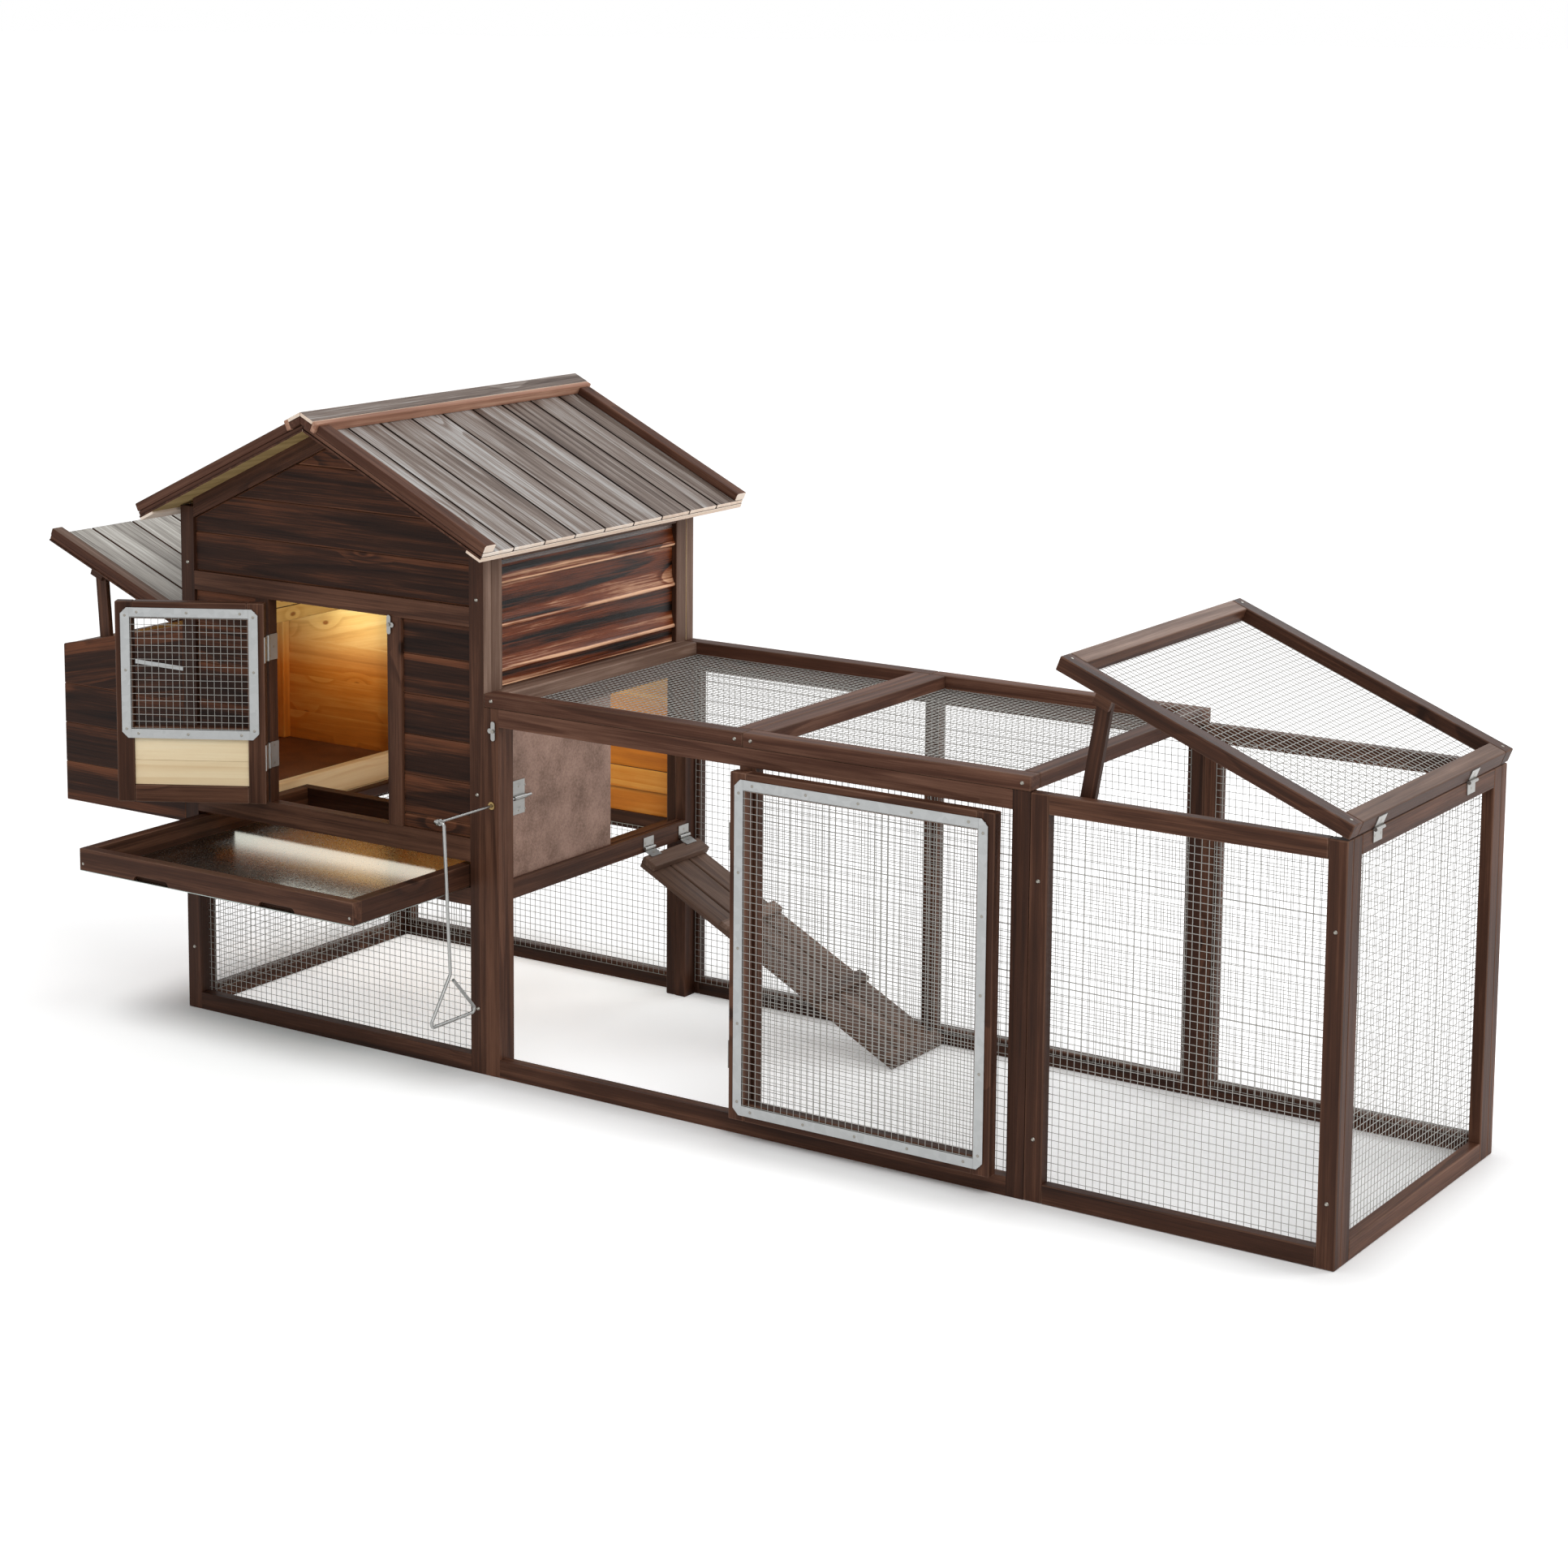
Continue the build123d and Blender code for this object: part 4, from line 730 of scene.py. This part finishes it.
def plate_screws(node, stations):
    """Flush screw heads on each plate of a node's hinges, on the side that its knuckles stand out of.

    The heads on a hinge's pin lie hidden in its knuckles.
    """
    solid, plates = pieces_of(node)
    heads = Wires()
    for plate in plates:
        broad = max(plate.faces, key=lambda face: face.calc_area())
        middle = sum((vert.co for vert in plate.verts), Vector()) / len(plate.verts)
        faces = [face for face in plate.faces if abs(face.normal.dot(broad.normal)) > PARALLEL
                 and face.calc_area() > broad.calc_area() * PLATE_FACE_SHARE]
        outer = max(faces, key=lambda face: face.normal.dot(middle - face.calc_center_median()))
        along = plate.along
        across = outer.normal.cross(along)
        spread = [max(abs((vert.co - outer.calc_center_median()).dot(axis)) for vert in outer.verts)
                  for axis in (along, across)]
        for first, second in stations:
            place = outer.calc_center_median() + along * spread[0] * first + across * spread[1] * second
            heads.head(place, outer.normal, SCREW_RADIUS, PLATE_SCREW_RISE)
    solid.free()
    show(heads.mesh(node + "_screws", smooth=False), [screw_zinc], body_of[node])


for node in HINGE_NODES:
    plate_screws(node, PLATE_SCREWS)


def screws_on(node, out, stations, radius=SCREW_RADIUS, only=None):
    """Screw heads on the side of a node's pieces that looks out, at shares along and across each piece."""
    solid, pieces = pieces_of(node)
    heads = Wires()
    for piece in pieces:
        facing = [axis.dot(out) for axis in piece.axes]
        axis = max((1, 2), key=lambda index: abs(facing[index]))
        if abs(facing[axis]) < FACING or (only and not only(piece)):
            continue
        side = math.copysign(1, facing[axis])
        for along, across in stations:
            shares = [along, across, across]
            shares[axis] = side
            heads.head(piece.point(*shares), piece.axes[axis] * side, radius, TIMBER_SCREW_RISE)
    solid.free()
    show(heads.mesh(node + "_screws", smooth=False), [screw_zinc], body_of[node])


screws_on("run_lid_frame", Vector((0, 0, 1)), LID_SCREWS, only=lambda piece: abs(piece.along.y) < SQUARE)
screws_on("tray_frame", Vector((0, -1, 0)), TRAY_SCREWS, only=lambda piece: piece.centre.y < TRAY_FRONT)
screws_on("pop_door_bracket", Vector((1, 0, 0)), BRACKET_SCREWS, radius=SMALL_SCREW_RADIUS)

# Floor, light and camera
WHITE = (1, 1, 1, 1)
FLOOR_SIZE = 400.0
FLOOR_DROP = 0.0005
FLOOR_COLOUR = (0.95, 0.95, 0.95, 1)
FLOOR_ROUGHNESS = 0.9
FLOOR_GLOSS = 0.1
WORLD_LIGHT = 0.68
FLOOR_GLOW = 0.42
# The floor's glow paints a soft shadow round the coop's foot, and inside the foot a tone lighter under the
# house, falling to none at the far end
FOOT_MIDDLE, FOOT_HALF = Vector((0.46, 0.32, 0.0)), Vector((1.15, 0.29, 1.0))
FOOT_RAIL = 0.03
FOOT_FADE = 0.2
FOOT_GLOW = (0.56, 0.0)


def seen_directly(tree):
    """1 for rays from the camera, a gloss or a glass, which show a surface, and 0 for those that light."""
    path = add(tree, "LightPath").outputs
    reflected = sums(tree, "MAXIMUM", path["Is Glossy Ray"], path["Is Transmission Ray"])
    return sums(tree, "MAXIMUM", path["Is Camera Ray"], reflected)


def floor_glow(tree):
    """The floor's own light: faded out round the coop's foot as a painted soft shadow, and inside it painted
    lighter under the house, falling towards the far end.
    """
    place = add(tree, "NewGeometry").outputs["Position"]
    offset = place
    for operation, other in (("SUBTRACT", FOOT_MIDDLE), ("ABSOLUTE", Vector()), ("SUBTRACT", FOOT_HALF),
                             ("MAXIMUM", Vector())):
        offset = add(tree, "VectorMath", {0: offset, 1: other}, operation=operation).outputs["Vector"]
    away = add(tree, "VectorMath", {0: offset}, operation="LENGTH").outputs["Value"]
    outside = add(tree, "MapRange", {"Value": away, "From Min": FOOT_RAIL, "From Max": FOOT_RAIL + FOOT_FADE,
                                     "To Max": FLOOR_GLOW}, interpolation_type="SMOOTHSTEP").outputs["Result"]
    inside_share = add(tree, "MapRange", {"Value": away, "From Max": FOOT_RAIL, "To Min": 1.0,
                                          "To Max": 0.0}).outputs["Result"]
    along = add(tree, "SeparateXYZ", {"Vector": place}).outputs["X"]
    below = add(tree, "MapRange", {"Value": along, "From Min": FOOT_MIDDLE.x - FOOT_HALF.x,
                                   "From Max": FOOT_MIDDLE.x + FOOT_HALF.x, "To Min": FOOT_GLOW[0],
                                   "To Max": FOOT_GLOW[1]}).outputs["Result"]
    return sums(tree, "MULTIPLY_ADD", inside_share, below, outside)


floor_material, floor_tree, floor_shader = new_material("pale floor")
floor_shader.inputs["Base Color"].default_value = FLOOR_COLOUR
floor_shader.inputs["Roughness"].default_value = FLOOR_ROUGHNESS
floor_shader.inputs["Emission Color"].default_value = WHITE
floor_tree.links.new(sums(floor_tree, "MULTIPLY", seen_directly(floor_tree), floor_glow(floor_tree)),
                     floor_shader.inputs["Emission Strength"])
floor_shader.inputs["Specular IOR Level"].default_value = FLOOR_GLOSS
bpy.ops.mesh.primitive_plane_add(size=FLOOR_SIZE, location=(0, 0, -FLOOR_DROP))
floor = bpy.context.object
floor.name = "floor"
floor.data.materials.append(floor_material)

scene = bpy.context.scene
world = bpy.data.worlds.new("studio")
scene.world = world
world.use_nodes = True
backdrop = world.node_tree
backdrop.nodes["Background"].inputs["Color"].default_value = WHITE
backdrop.links.new(sums(backdrop, "MULTIPLY_ADD", seen_directly(backdrop), 1 - WORLD_LIGHT, WORLD_LIGHT),
                   backdrop.nodes["Background"].inputs["Strength"])


def area_light(name, place, target, size, power, colour=WHITE[:3], spread=180):
    """A soft light that looks at a target."""
    data = bpy.data.lights.new(name, "AREA")
    data.shape = "RECTANGLE"
    data.size, data.size_y = size
    data.energy = power
    data.color = colour
    data.spread = math.radians(spread)
    light = bpy.data.objects.new(name, data)
    light.location = place
    light.rotation_euler = (Vector(target) - Vector(place)).to_track_quat("-Z", "Y").to_euler()
    scene.collection.objects.link(light)
    return light


area_light("key", (3.2, -2.2, 4.2), (0.4, 0.3, 0.4), (2.0, 2.0), 72)
area_light("side", (4.0, 2.5, 2.6), (0.0, 0.3, 0.7), (2.0, 2.0), 50)
area_light("back", (0.9, 3.0, 2.5), (0.0, 0.3, 0.9), (1.4, 1.0), 16, (0.9, 0.95, 1.0))
area_light("house glow", (-0.14, 0.30, 0.92), (-0.60, 0.60, 0.62), (0.12, 0.12), 0.8, (1.0, 0.86, 0.62), 130)
area_light("hole glow", (-0.30, 0.40, 0.60), (-0.10, 0.62, 0.47), (0.08, 0.08), 0.2, (0.86, 1.0, 0.84), 110)
area_light("nest glow", (-0.80, 0.42, 0.67), (-0.83, 0.62, 0.64), (0.1, 0.05), 0.2, (1.0, 0.96, 0.78), 120)

tray_sheen = bpy.data.collections.new("tray sheen")
tray_sheen.objects.link(nodes["tray_sheet"])
for name, height, size, power in (("doorway sheen", 0.55, (0.42, 0.24), 0.5),
                                  ("slot sheen", 0.360, (0.5, 0.03), 0.05)):
    sheen = area_light(name, (-0.42, 0.07, height), (-0.42, -0.4, height), size, power, (1.0, 0.95, 0.86))
    sheen.visible_diffuse = False
    sheen.light_linking.receiver_collection = tray_sheen

CAMERA_PLACE = Vector((3.5561, -4.4332, 1.881))
CAMERA_YAW, CAMERA_PITCH, CAMERA_ROLL = (math.radians(angle) for angle in (33.432, 8.195, -0.458))
PICTURE_PIXELS = 1932
FOCAL_PIXELS = 4043.4
CENTRE_ROW = 600
forward = Vector((-math.sin(CAMERA_YAW) * math.cos(CAMERA_PITCH),
                  math.cos(CAMERA_YAW) * math.cos(CAMERA_PITCH), -math.sin(CAMERA_PITCH)))
level_right = Vector((math.cos(CAMERA_YAW), math.sin(CAMERA_YAW), 0))
level_down = forward.cross(level_right)
right = level_right * math.cos(CAMERA_ROLL) + level_down * math.sin(CAMERA_ROLL)
down = level_down * math.cos(CAMERA_ROLL) - level_right * math.sin(CAMERA_ROLL)
camera_data = bpy.data.cameras.new("camera")
camera_data.sensor_width = 36.0
camera_data.lens = FOCAL_PIXELS * camera_data.sensor_width / PICTURE_PIXELS
camera_data.shift_y = (CENTRE_ROW - PICTURE_PIXELS / 2) / PICTURE_PIXELS
camera_data.clip_end = 2 * FLOOR_SIZE
camera = bpy.data.objects.new("camera", camera_data)
camera_turn = Matrix((right, -down, -forward)).transposed()
camera.matrix_world = Matrix.Translation(CAMERA_PLACE) @ camera_turn.to_4x4()
scene.collection.objects.link(camera)
scene.camera = camera
scene.view_settings.view_transform = "Standard"
